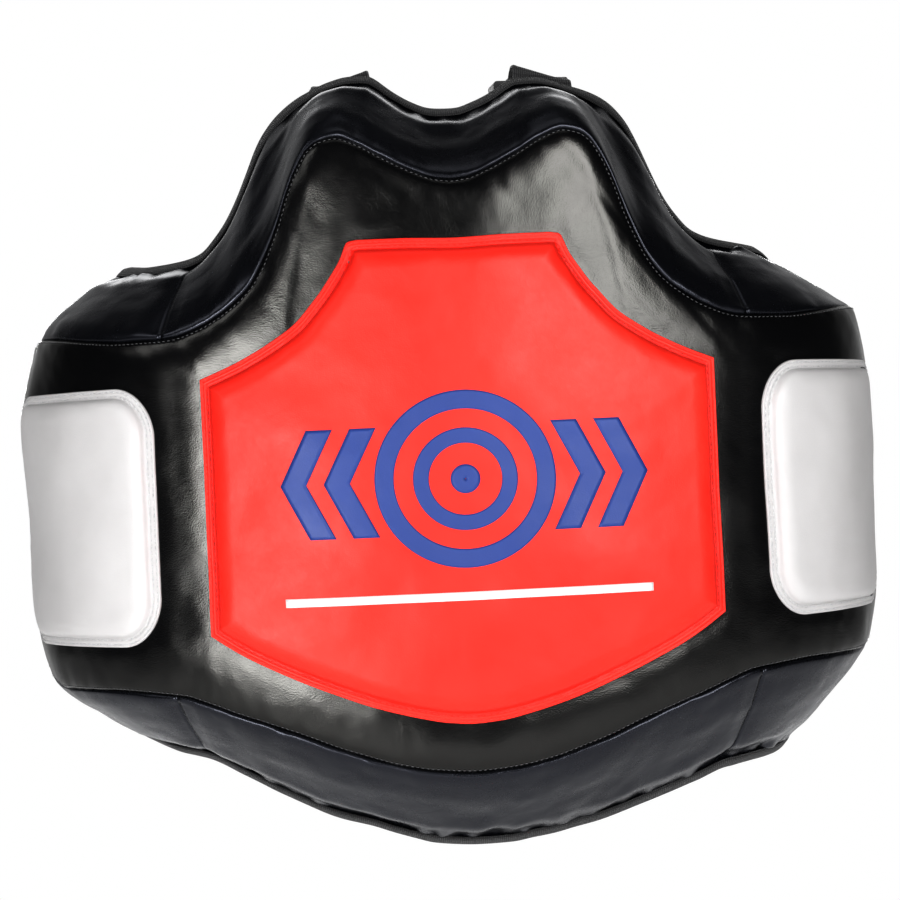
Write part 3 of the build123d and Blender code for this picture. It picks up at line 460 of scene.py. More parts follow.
M_PANEL = leather("panel_leather", (0.0022, 0.0023, 0.0028), (0.0040, 0.0041, 0.0048), rough=(0.18, 0.25), grain=1150.0,
                  grain_bump=0.16, crease_bump=0.18, crease=48.0, spec=0.54)
M_GUSSET = leather("gusset_leather", (0.0030, 0.0032, 0.0045), (0.0058, 0.0064, 0.0090), rough=(0.23, 0.33), grain=1300.0,
                   grain_bump=0.09, crease_bump=0.3, crease=60.0, spec=0.5)
M_RED = leather("red_leather", (0.88, 0.030, 0.018), (0.96, 0.044, 0.027), rough=(0.36, 0.48), grain=1150.0,
                grain_bump=0.12, crease_bump=0.22, crease=42.0, spec=0.32)
M_WHITE = leather("white_leather", (0.55, 0.54, 0.54), (0.62, 0.61, 0.61), rough=(0.42, 0.55), grain=1100.0,
                  grain_bump=0.12, crease_bump=0.16, crease=45.0, spec=0.4)
M_PATCH = leather("patch_leather", (0.016, 0.016, 0.017), (0.030, 0.030, 0.032), rough=(0.4, 0.55), grain=950.0,
                  grain_bump=0.25, crease_bump=0.2, crease=70.0)
M_BIND = woven("binding_tape", (0.006, 0.006, 0.0065), (0.032, 0.032, 0.034), pitch_u=1.3, pitch_v=0.9, bump=0.7)
M_WEB = woven("webbing", (0.010, 0.010, 0.011), (0.060, 0.060, 0.062), pitch_u=2.2, pitch_v=1.4, bump=0.9, rough=0.68)
M_LINING = cloth("lining_cloth", (0.024, 0.024, 0.026), (0.055, 0.055, 0.058))
M_FOAM = cloth("foam", (0.10, 0.10, 0.105), (0.16, 0.16, 0.165), scale=1500.0, rough=0.85)
M_PLASTIC = plastic("buckle_plastic", (0.022, 0.022, 0.023), (0.034, 0.034, 0.035))
M_TH_GREY = thread("grey_thread", (0.055, 0.055, 0.06), (0.15, 0.15, 0.155))
M_TH_BLACK = thread("black_thread", (0.008, 0.008, 0.008), (0.03, 0.03, 0.03))
M_TH_RED = thread("red_thread", (0.55, 0.018, 0.012), (0.85, 0.06, 0.04))
M_TH_WHITE = thread("white_thread", (0.42, 0.42, 0.43), (0.68, 0.68, 0.68))
M_BLUE = leather("blue_print", (0.028, 0.062, 0.245), (0.036, 0.074, 0.275), rough=(0.4, 0.5), grain=1150.0,
                 grain_bump=0.12, crease_bump=0.22, crease=42.0, spec=0.4)
M_PRINT_WHITE = leather("white_print", (0.72, 0.72, 0.72), (0.82, 0.82, 0.82), rough=(0.4, 0.5), grain=1150.0,
                        grain_bump=0.12, crease_bump=0.2, crease=42.0, spec=0.4)

# ------------------------------------------------------------------ developed coordinates on the outer face
_uu = np.linspace(0, U_E, 1600)
_rr = np.where(_uu <= U1, R_FRONT, np.where(_uu <= U2, R_SIDE, R_WING))
_aa = np.concatenate([[0], np.cumsum(np.diff(_uu) * ((_rr + depth(_uu)) / _rr)[1:])])


def a_of(u):
    return np.sign(u) * np.interp(np.abs(u), _uu, _aa)


def u_of(a):
    return np.sign(a) * np.interp(np.abs(a), _aa, _uu)


def densify(points, step):
    pts = np.asarray(points, float)
    out = []
    for p, q in zip(pts, np.roll(pts, -1, axis=0)):
        k = max(1, int(np.ceil(np.linalg.norm(q - p) / step)))
        out += [p + (q - p) * i / k for i in range(k)]
    return np.array(out)


def outline_distance(poly, a, z):
    q = np.roll(poly, -1, axis=0)
    pts = np.stack([a.ravel(), z.ravel()], 1)
    best = np.full(len(pts), 1e9)
    for p0, p1 in zip(poly, q):
        d = p1 - p0
        l2 = d @ d
        if l2 < 1e-9:
            continue
        t = np.clip(((pts - p0) @ d) / l2, 0, 1)
        r = pts - p0 - t[:, None] * d
        best = np.minimum(best, np.einsum("ij,ij->i", r, r))
    return np.sqrt(best).reshape(a.shape)


# centre pad and side pad outlines in (a, z)
CU = 138.5
cu = np.concatenate([np.linspace(-CU, CU, 140)])
centre_poly = np.concatenate([np.stack([a_of(cu), pad_b(cu)], 1), np.stack([a_of(cu[::-1]), pad_t(cu[::-1])], 1)])
S0, S1 = a_of(160.5), a_of(234.0)


def side_poly(sign):
    top, bot = 51.0, -105.0
    pts = []
    for cx, cz, b0, rx, rz in ((S1, top, 0, 22, 22), (S0, top, 90, 27, 31), (S0, bot, 180, 27, 31), (S1, bot, 270, 24, 24)):
        ox, oz = (cx - rx if cx == S1 else cx + rx), (cz - rz if cz == top else cz + rz)
        for k in range(17):
            t = math.radians(b0 + 90 * k / 16)
            pts.append((ox + rx * math.cos(t), oz + rz * math.sin(t)))
    pts = np.array(pts)
    pts[:, 0] *= sign
    return pts if sign > 0 else pts[::-1]


right_poly, left_poly = side_poly(1.0), side_poly(-1.0)


def panel_relief(u, z, a=None):
    # how far the front panel stands from the plain wall
    a = a_of(u) if a is None else a
    st, sb = seam_t(u), seam_b(u)
    du = 1.5
    slope_t = (seam_t(np.abs(u) + du) - seam_t(np.abs(u) - du)) / (2 * du)
    slope_b = (seam_b(np.abs(u) + du) - seam_b(np.abs(u) - du)) / (2 * du)
    dt = np.maximum(st - z, 0) / np.sqrt(1 + slope_t ** 2)
    db = np.maximum(z - sb, 0) / np.sqrt(1 + slope_b ** 2)
    de = np.maximum(a_of(U_OUT) - np.abs(a), 0)
    roll = lambda d, w: np.sqrt(np.clip(1 - (1 - np.clip(d / w, 0, 1)) ** 2, 0, 1))
    h = 5.4 * roll(dt, 21.0) * roll(db, 30.0) * (0.35 + 0.65 * roll(de, 22.0)) - 2.3
    seam = np.minimum(np.minimum(dt, db), de + 0 * dt)
    run = np.where(db < dt, a, a + 0.8 * z)
    pucker = f4(run / 7.5 + 31, seam / 14.0) * 0.55 + f5(run / 3.9, seam / 9.0 + 4) * 0.25
    h = h + pucker * np.exp(-seam / 11.0) * np.clip(seam / 2.0, 0.15, 1)
    h = h + (3.4 + np.where(u < 0, 4.0, 0.0) * sstep((z + 30) / 70.0)) * sstep((np.abs(u) - 196) / 40.0) * sstep((300 - np.abs(u)) / 40.0) * sstep(seam / 40.0)
    h = h + waves(a, z, 95.0) * 1.25 * sstep(seam / 30.0) + waves(a + 300, z, 34.0) * 0.22 * sstep(seam / 18.0)
    # the pull-in where the pads are sewn down is not added here; the front panel mesh adds it
    return h


def front_n(u, z, a=None):
    return depth(u) + panel_relief(u, z, a)


def rows(lo, hi, fine, coarse, edge):
    # positions from 0 to 1 with closer spacing near both ends
    n = int((hi - lo) / coarse)
    k = int(edge / fine)
    L = hi - lo
    a = np.concatenate([np.linspace(0, edge, k + 1)[:-1], np.linspace(edge, L - edge, max(4, int((L - 2 * edge) / coarse)))[:],
                        np.linspace(L - edge, L, k + 1)[1:]])
    return a / L


# specular tints paint the studio light's colour into the reflections: bluish on the gussets, warm on the panel
for m_, tint in ((M_GUSSET, (0.93, 0.96, 1.12)), (M_PANEL, (1.0, 0.99, 0.94))):
    for n_ in m_.node_tree.nodes:
        if n_.type == "BSDF_PRINCIPLED":
            n_.inputs["Specular Tint"].default_value = (*tint, 1.0)

# ------------------------------------------------------------------ front panel
pu = np.concatenate([np.arange(-U_OUT, U_OUT, 1.7), [U_OUT]])
pt_ = np.unique(np.concatenate([np.linspace(0, 0.09, 12), np.linspace(0.09, 0.91, 110), np.linspace(0.91, 1, 12)]))
UU, TT = np.meshgrid(pu, pt_)
ZZ = seam_b(UU) + (seam_t(UU) - seam_b(UU)) * TT
AA = a_of(UU)
relief = panel_relief(UU, ZZ, AA)
dip = np.zeros_like(relief)
for poly in (centre_poly, left_poly, right_poly):
    alo, ahi = poly[:, 0].min() - 16, poly[:, 0].max() + 16
    m = (AA > alo) & (AA < ahi)
    d = outline_distance(densify(poly, 6.0), AA[m], ZZ[m])
    dip[m] = np.maximum(dip[m], np.exp(-(d / 5.0) ** 2))
NN = depth(UU) + relief - 0.25 * dip
g = P(UU, NN, ZZ)
uvp = np.stack([AA + 500, ZZ + 500], -1)
panel = grids("front_panel_skin", [(g, False)], merge=0, uvs=[uvp])
thicken(panel, 1.6)
done(panel, M_PANEL, nodes=("front_panel",))

# ------------------------------------------------------------------ gussets
folds_top = Folds(21, 46, -158, 158, 46, 1.5, 3.0, spots=((-105, 16, 8), (112, 16, 9), (0, 18, 6), (140, 10, 5)))
folds_bot = Folds(22, 60, -158, 158, 44, 1.5, 3.2, spots=((-15, 18, 12), (45, 16, 10), (-120, 15, 8), (120, 16, 8)))
folds_wt = Folds(23, 34, 158, 316, 48, 1.7, 3.2, spots=((215, 16, 9), (180, 10, 6)))
folds_wb = Folds(24, 34, 158, 316, 46, 1.6, 3.2, spots=((225, 20, 8),))
folds_wt2 = Folds(25, 34, 158, 316, 48, 1.9, 3.2, spots=((185, 14, 12), (215, 14, 8)))
folds_wb2 = Folds(26, 34, 158, 316, 46, 1.6, 3.2, spots=((200, 20, 8),))


def strip(u, w, top, folds, mirror=False):
    # w from 0 at the front seam to 1 at the bound edge; returns points and lengths down the strip
    so, ei = (top_out(u), edge_t(u)) if top else (bottom_out(u), edge_b(u))
    d = depth(u)
    ns = d - np.where(np.abs(u) <= U_OUT, 2.3, 0.0)
    n = ns * (1 - w)
    z = so + (ei - so) * w
    length = np.sqrt(d ** 2 + (ei - so) ** 2)
    dist_e = (1 - w) * length
    dist_s = w * length
    # outward normal in the slice
    nn = np.abs(ei - so) / length
    nz = (1.0 if top else -1.0) * d / length
    bulge = 6.2 * np.sqrt(np.clip(1 - (1 - np.clip(dist_s / 34.0, 0, 1)) ** 2, 0, 1)) * sstep((dist_e - 5) / 26.0)
    bulge = bulge * np.clip(length / 70.0, 0.25, 1.1)
    bulge = bulge * np.where(u > 0, 1 - (0.85 if top else 0.5) * sstep((np.abs(u) - 170) / 50.0), 1 - (0.0 if top else 0.5) * sstep((np.abs(u) - 170) / 50.0))
    uu = -u if mirror else u
    wr = folds(uu, dist_e) * sstep((dist_e - 3.0) / 7.0)
    seam_p = (f4(u / 8.0 + 9, 0 * u + 3) * 0.6 + f5(u / 4.1, 0 * u + 1) * 0.3) * np.exp(-dist_s / 10.0) * np.clip(dist_s / 2.5, 0, 1)
    lump = waves(u + 70, dist_s, 46.0) * 1.1 * sstep(dist_s / 14.0) * sstep((dist_e - 4) / 14.0)
    h = bulge + wr + seam_p + lump
    return P(u, n + h * nn, z + h * nz), np.stack([u + 500, dist_s + 100 + 0 * u], -1)


wv = np.unique(np.concatenate([np.linspace(0, 0.14, 9), np.linspace(0.14, 0.86, 44), np.linspace(0.86, 1, 10)]))
gu = np.linspace(-SEAM_U, SEAM_U, 240)
for name, top, folds, nodes in (("top_gusset_skin", True, folds_top, ("top_gusset",)),
                                ("bottom_gusset_skin", False, folds_bot, ("bottom_gusset",))):
    U, W = np.meshgrid(gu, wv)
    # pinch at the cross seams
    g, uv = strip(U, W, top, folds)
    pinch = 1.6 * np.exp(-((SEAM_U - np.abs(U)) / 4.0) ** 2)
    s, x, y, t = plan(U)
    slope = (edge_t(U) - top_out(U)) if top else (edge_b(U) - bottom_out(U))
    ln = np.sqrt(depth(U) ** 2 + slope ** 2)
    nn, nz = np.abs(slope) / ln, (1 if top else -1) * depth(U) / ln
    out = np.stack([s * np.sin(t) * nn, -np.cos(t) * nn, nz], -1)
    g = g - out * (pinch * sstep(W * 12) * sstep((1 - W) * 8))[..., None]
    ob = grids(name, [(g, not top)], merge=0, uvs=[uv])
    thicken(ob, 1.6)
    done(ob, M_GUSSET, nodes=nodes)

for side, sgn in (("left", -1.0), ("right", 1.0)):
    ft, fb = (folds_wt, folds_wb) if sgn < 0 else (folds_wt2, folds_wb2)
    wu = np.unique(np.concatenate([np.linspace(SEAM_U, U_OUT, 84), np.linspace(U_OUT, U_IN, 30), np.linspace(U_IN, U_E, 3)]))
    parts, uvs = [], []
    tops = {}
    for top, folds in ((True, ft), (False, fb)):
        U, W = np.meshgrid(sgn * wu, wv)
        g, uv = strip(U, W, top, folds, mirror=sgn < 0)
        pinch = 1.6 * np.exp(-((np.abs(U) - SEAM_U) / 4.0) ** 2)
        s, x, y, t = plan(U)
        slope = (edge_t(U) - top_out(U)) if top else (edge_b(U) - bottom_out(U))
        ln = np.sqrt(depth(U) ** 2 + slope ** 2)
        nn, nz = np.abs(slope) / ln, (1 if top else -1) * depth(U) / ln
        out = np.stack([s * np.sin(t) * nn, -np.cos(t) * nn, nz], -1)
        g = g - out * (pinch * sstep(W * 12) * sstep((1 - W) * 8))[..., None]
        parts.append((g, (not top) if sgn > 0 else top))
        uvs.append(uv)
        tops[top] = g[0]
    # the sloping end face, from the panel's end seam round to the bound edge
    eu = wu[wu >= U_OUT - 1e-6]
    col = np.linspace(0, 1, 96)
    U, C = np.meshgrid(sgn * eu, col)
    zt_, zb_ = top_out(U), bottom_out(U)
    Z = zb_ + (zt_ - zb_) * C
    q = (np.abs(U) - U_OUT) / (U_IN - U_OUT)
    d_edge = np.minimum(Z - zb_, zt_ - Z)
    bul = 3.6 * np.sin(np.pi * np.clip(q, 0, 1)) ** 0.8 * sstep(d_edge / 30.0)
    bul = bul + waves(U * 2 + 40, Z, 42.0) * 0.9 * sstep(d_edge / 20.0) * sstep(q * 5) * sstep((1 - q) * 5)
    fe = Folds(31 + int(sgn), 26, -160, 120, 26, 1.3, 3.0)
    bul = bul + fe(Z, (1 - q) * 46) * sstep(d_edge / 18.0) * sstep(q * 4) * sstep((1.02 - q) * 8)
    N = depth(U) - np.where(np.abs(U) <= U_OUT + 1e-6, 2.3, 0) + bul
    g = P(U, N, Z)
    parts.append((g, sgn < 0))
    uvs.append(np.stack([U * 1.4 + 700, Z + 500], -1))
    # the nose between the end face and the lining
    kk = np.linspace(0, 1, 9)
    Nn, C2 = np.meshgrid(14.0 * (1 - kk), col)
    ue = sgn * U_E
    zt2 = top_out(ue) + (edge_t(ue) - top_out(ue)) * (1 - Nn / 14.0)
    zb2 = bottom_out(ue) + (edge_b(ue) - bottom_out(ue)) * (1 - Nn / 14.0)
    parts.append((P(sgn * (U_E + 0 * Nn), Nn, zb2 + (zt2 - zb2) * C2), sgn < 0))
    uvs.append(np.stack([Nn + 900, C2 * 200 + 500], -1))
    ob = grids(side + "_gusset_skin", parts, merge=0.12, uvs=uvs)
    thicken(ob, 1.6)
    done(ob, M_GUSSET, nodes=(side + "_gusset",))

# ------------------------------------------------------------------ lining
lu = np.unique(np.concatenate([np.linspace(-U_E, -SEAM_U, 90), np.linspace(-SEAM_U, SEAM_U, 150), np.linspace(SEAM_U, U_E, 90)]))
lw = np.unique(np.concatenate([np.linspace(0, 0.06, 8), np.linspace(0.06, 0.94, 90), np.linspace(0.94, 1, 8)]))
U, W = np.meshgrid(lu, lw)
Z = edge_b(U) + (edge_t(U) - edge_b(U)) * W
de = np.minimum(np.minimum(Z - edge_b(U), edge_t(U) - Z), (U_E - np.abs(U)) + 0 * Z)
fold_l = Folds(41, 20, 120, 250, 900, 1.0, 5.0)
vert = fold_l(np.abs(U) + 6 * f1(Z / 60 + 3, U / 80), 0 * Z + 100) * 0.8
edge_f = Folds(42, 90, -316, 316, 26, 0.9, 2.6)(U, de)
n = -(0.25 + 1.1 * sstep((de - 7) / 22.0) + (vert + waves(U, Z, 55.0) * 0.55) * sstep((de - 8) / 26.0) * 0.8 + np.abs(edge_f) * sstep((de - 6) / 6.0))
lining = grids("back_lining_skin", [(P(U, n, Z), True)], merge=0, uvs=[np.stack([U + 500, Z + 500], -1)])
thicken(lining, 1.0)
done(lining, M_LINING, nodes=("back_lining",))


# ------------------------------------------------------------------ edge binding
def edge_loop():
    """Points of the bound edge all the way round, with the two directions that the tape lies along."""
    pts, A, B = [], [], []
    top_u = np.linspace(-U_E + 1.5, U_E - 1.5, 360)
    end_z = lambda: None

    def add(u, z, dA, dB):
        pts.append(P(u, 0.0, z))
        A.append(dA)
        B.append(dB)

    def frame_at(u):
        s, x, y, t = plan(u)
        N = np.array([s * math.sin(t), -math.cos(t), 0.0])
        T = np.array([s * s * math.cos(t), s * math.sin(t), 0.0])   # towards larger u
        return N, T
    for u in top_u:
        N, T = frame_at(u)
        d, dz = float(depth(u)), float(top_out(u) - edge_t(u))
        add(u, float(edge_t(u)), (N * d + np.array([0, 0, dz])) / math.hypot(d, dz), np.array([0, 0, -1.0]))
    N, T = frame_at(U_E)
    for z in np.linspace(float(edge_t(U_E)) - 3, float(edge_b(U_E)) + 3, 110):
        add(U_E, z, N, -T)
    for u in top_u[::-1]:
        N, T = frame_at(u)
        d, dz = float(depth(u)), float(bottom_out(u) - edge_b(u))
        add(u, float(edge_b(u)), (N * d + np.array([0, 0, dz])) / math.hypot(d, dz), np.array([0, 0, 1.0]))
    N, T = frame_at(-U_E)
    for z in np.linspace(float(edge_b(-U_E)) + 3, float(edge_t(-U_E)) - 3, 110):
        add(-U_E, z, N, T)
    return np.array(pts), np.array(A), np.array(B)


def unit(v):
    return v / np.maximum(np.linalg.norm(v, axis=-1, keepdims=True), 1e-9)


def ring_smooth(v, k):
    for _ in range(k):
        v = (np.roll(v, 1, 0) + 2 * v + np.roll(v, -1, 0)) / 4
    return v


ep, eA, eB = edge_loop()
eA, eB = unit(ring_smooth(eA, 14)), unit(ring_smooth(eB, 14))
ep = ring_smooth(ep, 3)
tan = unit(np.roll(ep, -1, 0) - np.roll(ep, 1, 0))
eA = unit(eA - np.sum(eA * tan, -1, keepdims=True) * tan)
eB = unit(eB - np.sum(eB * tan, -1, keepdims=True) * tan)
out = unit(-(eA + eB))
# each side's outward normal
nA = unit(out - np.sum(out * eA, -1, keepdims=True) * eA)
nB = unit(out - np.sum(out * eB, -1, keepdims=True) * eB)
arc = np.concatenate([[0], np.cumsum(np.linalg.norm(np.diff(ep, axis=0), axis=1))])
total = arc[-1] + np.linalg.norm(ep[0] - ep[-1])
wob = f1(arc / 21.0 + 2, arc * 0 + 1) * 0.5
wob2 = f2(arc / 13.0 + 2, arc * 0 + 5) * 0.35
TA, TB = 6.8, 7.0
sect = []
for kind, along, up in (("A", TA, 0.55), ("A", TA - 0.1, 1.1), ("A", 5.2, 1.45), ("A", 3.2, 1.6), ("A", 1.2, 1.7),
                        ("O", 0, 2.0), ("B", 1.0, 1.9), ("B", 3.2, 1.6), ("B", 5.4, 1.5), ("B", TB - 0.1, 1.25), ("B", TB, 0.6)):
    if kind == "A":
        p = ep + eA * (along + (wob if along > 5 else 0 * wob))[:, None] + nA * (up + 0.35 + 0.25 * wob2)[:, None]
    elif kind == "B":
        p = ep + eB * (along + (wob2 if along > 5 else 0 * wob2))[:, None] + nB * (up + 0.25)
    else:
        p = ep + out * up
    sect.append(p)
sect = np.array(sect)                       # profile x loop x 3
prof = np.concatenate([[0], np.cumsum(np.linalg.norm(np.diff(sect[:, 0], axis=0), axis=1))])
k, m = sect.shape[:2]
closed = np.concatenate([sect, sect[:, :1]], 1)
uvb = np.stack(np.broadcast_arrays(np.append(arc, total)[None, :], prof[:, None]), -1)
binding = grids("edge_binding_tape", [(closed, True)], merge=0.02, uvs=[uvb])
thicken(binding, 0.7, offset=-1.0)
done(binding, M_BIND, nodes=("edge_binding",))


# ------------------------------------------------------------------ stitches
def stitch_base(length, width, height, segs=7, rings=5):
    v, f = [], []
    for i in range(rings + 1):
        t = math.pi * i / rings
        for j in range(segs):
            p = 2 * math.pi * j / segs
            x = -math.cos(t) * length / 2
            r = math.sin(t) ** 0.6
            v.append((x, r * width / 2 * math.cos(p), r * height / 2 * math.sin(p)))
    for i in range(rings):
        for j in range(segs):
            a, b = i * segs + j, i * segs + (j + 1) % segs
            f.append((a, b, b + segs, a + segs))
    return np.array(v), f


def stitches(name, spots, mat, length=3.0, width=0.75, height=0.7, body="vest", jitter=0.12):
    """spots: (point, along, up) arrays."""
    bv, bf = stitch_base(length, width, height)
    V, F = [], []
    r = np.random.default_rng(len(spots) + 3)
    for i, (p, t, upv) in enumerate(spots):
        t = unit(np.asarray(t, float))
        upv = np.asarray(upv, float)
        upv = unit(upv - np.dot(upv, t) * t)
        sd = np.cross(upv, t)
        t = unit(t + sd * r.normal(0, jitter))
        sd = np.cross(upv, t)
        V.append(np.asarray(p) + bv[:, :1] * t + bv[:, 1:2] * sd + bv[:, 2:] * upv)
        o = i * len(bv)
        F += [tuple(q + o for q in f) for f in bf]
    ob = new_object(name, np.concatenate(V), F)
    return done(ob, mat, body=body)


def along_line(P3, up, pitch, start=0.0):
    """Evenly spaced (point, tangent, up) on a polyline of 3-D points."""
    P3 = np.asarray(P3, float)
    seg = np.linalg.norm(np.diff(P3, axis=0), axis=1)
    s = np.concatenate([[0], np.cumsum(seg)])
    at = np.arange(start + pitch / 2, s[-1], pitch)
    pts = np.stack([np.interp(at, s, P3[:, k]) for k in range(3)], 1)
    ups = np.stack([np.interp(at, s, up[:, k]) for k in range(3)], 1)
    e = 0.4
    t = np.stack([np.interp(at + e, s, P3[:, k]) - np.interp(at - e, s, P3[:, k]) for k in range(3)], 1)
    return list(zip(pts, t, unit(ups)))


def outn(u):
    s, x, y, t = plan(u)
    return np.stack([s * np.sin(t), -np.cos(t), 0 * t], -1)


# front seam, just inside the panel's edge
su = np.linspace(-U_OUT + 1, U_OUT - 1, 700)
spots = []
zz = seam_t(su) - 1.7 * np.sqrt(1 + ((seam_t(np.abs(su) + 1) - seam_t(np.abs(su) - 1)) / 2) ** 2)
spots += along_line(P(su, front_n(su, zz) + 0.25, zz), outn(su), 3.1)
zz = seam_b(su) + 1.7 * np.sqrt(1 + ((seam_b(np.abs(su) + 1) - seam_b(np.abs(su) - 1)) / 2) ** 2)
spots += along_line(P(su, front_n(su, zz) + 0.25, zz), outn(su), 3.1)
for sgn in (-1, 1):
    z = np.linspace(float(seam_b(U_OUT)) + 2, float(seam_t(U_OUT)) - 2, 120)
    uu = sgn * (U_OUT - 1.2) + 0 * z
    spots += along_line(P(uu, front_n(uu, z) + 0.25, z), outn(uu), 3.1)
stitches("front_seam_stitches", spots, M_TH_GREY, length=1.75, width=0.48, height=0.42)

# binding thread, one row on each side
rowA = ep + eA * (TA - 1.5) + nA * 1.95
rowB = ep + eB * (TB - 1.5) + nB * 1.7
spots = along_line(np.concatenate([rowA, rowA[:1]]), np.concatenate([nA, nA[:1]]), 4.2)
spots += along_line(np.concatenate([rowB, rowB[:1]]), np.concatenate([nB, nB[:1]]), 4.2)
stitches("binding_stitches", spots, M_TH_BLACK, length=2.8, width=0.7, height=0.6)


# ------------------------------------------------------------------ foam filling
def foam_block(name, us, n_lo, n_hi, nodes):
    """A cut foam layer between two depths, inside the covers."""
    us = np.asarray(us, float)
    k = np.linspace(0, 1, 9)
    ring = []
    for side in range(4):
        ring += [(side, t) for t in k[:-1]]
    rows_ = []
    for side, t in ring:
        lo = np.minimum(n_lo, depth(us) * 0.3)
        hi = np.minimum(n_hi, depth(us) - 6.0)
        n = {0: lo + (hi - lo) * t, 1: hi, 2: hi + (lo - hi) * t, 3: lo}[side] + 0 * us
        f = n / depth(us)
        zb = edge_b(us) + (bottom_out(us) - edge_b(us)) * f + 4.5
        zt = edge_t(us) + (top_out(us) - edge_t(us)) * f - 4.5
        z = {0: zb, 1: zb + (zt - zb) * t, 2: zt, 3: zt + (zb - zt) * t}[side]
        rows_.append(P(us, n, z))
    g = np.array(rows_ + [rows_[0]])
    ob = grids(name, [(g, us[-1] > 0)], merge=0.05)
    bm = bmesh.new()
    bm.from_mesh(ob.data)
    bmesh.ops.holes_fill(bm, edges=[e for e in bm.edges if e.is_boundary], sides=0)
    bmesh.ops.recalc_face_normals(bm, faces=bm.faces)
    bm.to_mesh(ob.data)
    bm.free()
    return done(ob, M_FOAM, nodes=nodes)


mid_u = np.linspace(-156, 156, 90)
foam_block("foam_back_layer", mid_u, 4.0, 24.0, ("foam_back",))
foam_block("foam_middle_layer", mid_u, 24.5, 45.0, ("foam_middle",))
foam_block("foam_front_layer", mid_u, 45.5, 90.0, ("foam_front",))
foam_block("left_wing_foam_layer", np.linspace(-300, -158, 60), 4.0, 90.0, ("left_wing_foam",))
foam_block("right_wing_foam_layer", np.linspace(158, 300, 60), 4.0, 90.0, ("right_wing_foam",))


# ------------------------------------------------------------------ target pads
def pad_profile(d, border, rise, height, crown, reach):
    rim = 2.0 * np.sqrt(np.clip(1 - (1 - np.clip(d / 0.9, 0, 1)) ** 2, 0, 1))
    flat = rim - 0.45 * np.exp(-((d - 1.9) / 0.55) ** 2) - 0.45 * np.exp(-((d - 4.6) / 0.55) ** 2)
    x = np.clip((d - border) / rise, 0, 1)
    up = (height - 2.0) * np.sqrt(np.clip(1 - (1 - x) ** 2.2, 0, 1)) ** 0.9
    return flat - 0.8 * np.exp(-((d - border) / 1.1) ** 2) + up + crown * sstep((d - border) / reach)


def make_pad(name, poly, us, low, high, ts, border, rise, height, crown, reach, mat, nodes, seed, wave=0.35, thin=None):
    poly = densify(poly, 2.5)
    thin = thin or (lambda u: 1.0)
    U, Tt = np.meshgrid(us, ts)
    Z = low(U) + (high(U) - low(U)) * Tt
    A = a_of(U)
    d = outline_distance(poly, A, Z)
    h = pad_profile(d, border, rise, height, crown, reach)
    inner = sstep((d - border) / 10.0)
    h = h + (waves(A + seed * 37, Z, 62.0) * wave + waves(A + seed * 17, Z + 9, 21.0) * wave * 0.28) * inner
    run = A + 0.7 * Z
    h = h + (f4(run / 6.5 + seed, Z / 11.0) * 0.32) * np.exp(-((d - border - 2) / 5.0) ** 2)
    base = front_n(U, Z, A) - 0.6
    g = P(U, base + h * thin(U), Z)
    ob = grids(name, [(g, False)], merge=0, uvs=[np.stack([A + 500, Z + 500], -1)])
    thicken(ob, 1.6)
    done(ob, mat, nodes=nodes)
    # the foam under the cover
    uc, zc0 = (us[0] + us[-1]) / 2, 0.5
    U2, T2 = uc + (U - uc) * 0.93, zc0 + (Tt - zc0) * 0.93
    Z2 = low(U2) + (high(U2) - low(U2)) * T2
    A2 = a_of(U2)
    d2 = outline_distance(poly, A2, Z2)
    b2 = front_n(U2, Z2, A2)
    h2 = np.maximum((pad_profile(d2, border, rise, height, crown, reach) - 4.2) * thin(U2), 0.06)
    st = (slice(None, None, 3), slice(None, None, 3))
    top_g, low_g = P(U2, b2 + h2, Z2)[st], P(U2, b2 + 0.0, Z2)[st]
    rim_u = np.concatenate([top_g[:1], low_g[:1]]), np.concatenate([top_g[-1:], low_g[-1:]])
    rim_v = np.stack([top_g[:, 0], low_g[:, 0]]), np.stack([top_g[:, -1], low_g[:, -1]])
    fo = grids(name.replace("_skin", "_foam_insert"), [(top_g, False), (low_g, True), (rim_u[0], True), (rim_u[1], False),
                                                      (rim_v[0], False), (rim_v[1], True)], merge=0.02)
    done(fo, M_FOAM, nodes=(nodes[0].replace("_cover", "_foam"),))

    def surface(a, z, extra=0.0):
        a, z = np.asarray(a, float), np.asarray(z, float)
        u = u_of(a)
        dd = outline_distance(poly, np.atleast_1d(a), np.atleast_1d(z)).reshape(a.shape)
        hh = pad_profile(dd, border, rise, height, crown, reach)
        inn = sstep((dd - border) / 10.0)
        hh = hh + (waves(a + seed * 37, z, 62.0) * wave + waves(a + seed * 17, z + 9, 21.0) * wave * 0.28) * inn
        hh = hh + (f4((a + 0.7 * z) / 6.5 + seed, z / 11.0) * 0.32) * np.exp(-((dd - border - 2) / 5.0) ** 2)
        return P(u, front_n(u, z, a) - 0.6 + hh * thin(u) + extra, z)
    return ob, surface


def inset(poly, d):
    """The outline moved in by d, as a closed line, with corners kept."""
    p = densify(poly, 2.0)
    area = 0.5 * np.sum(p[:, 0] * np.roll(p[:, 1], -1) - np.roll(p[:, 0], -1) * p[:, 1])
    t = unit(np.roll(p, -1, 0) - np.roll(p, 1, 0))
    nrm = np.stack([-t[:, 1], t[:, 0]], 1) * (1 if area > 0 else -1)
    q = p + nrm * d
    dist = outline_distance(p, q[:, 0], q[:, 1])
    q = q[dist > d * 0.9]
    return np.concatenate([q, q[:1]])


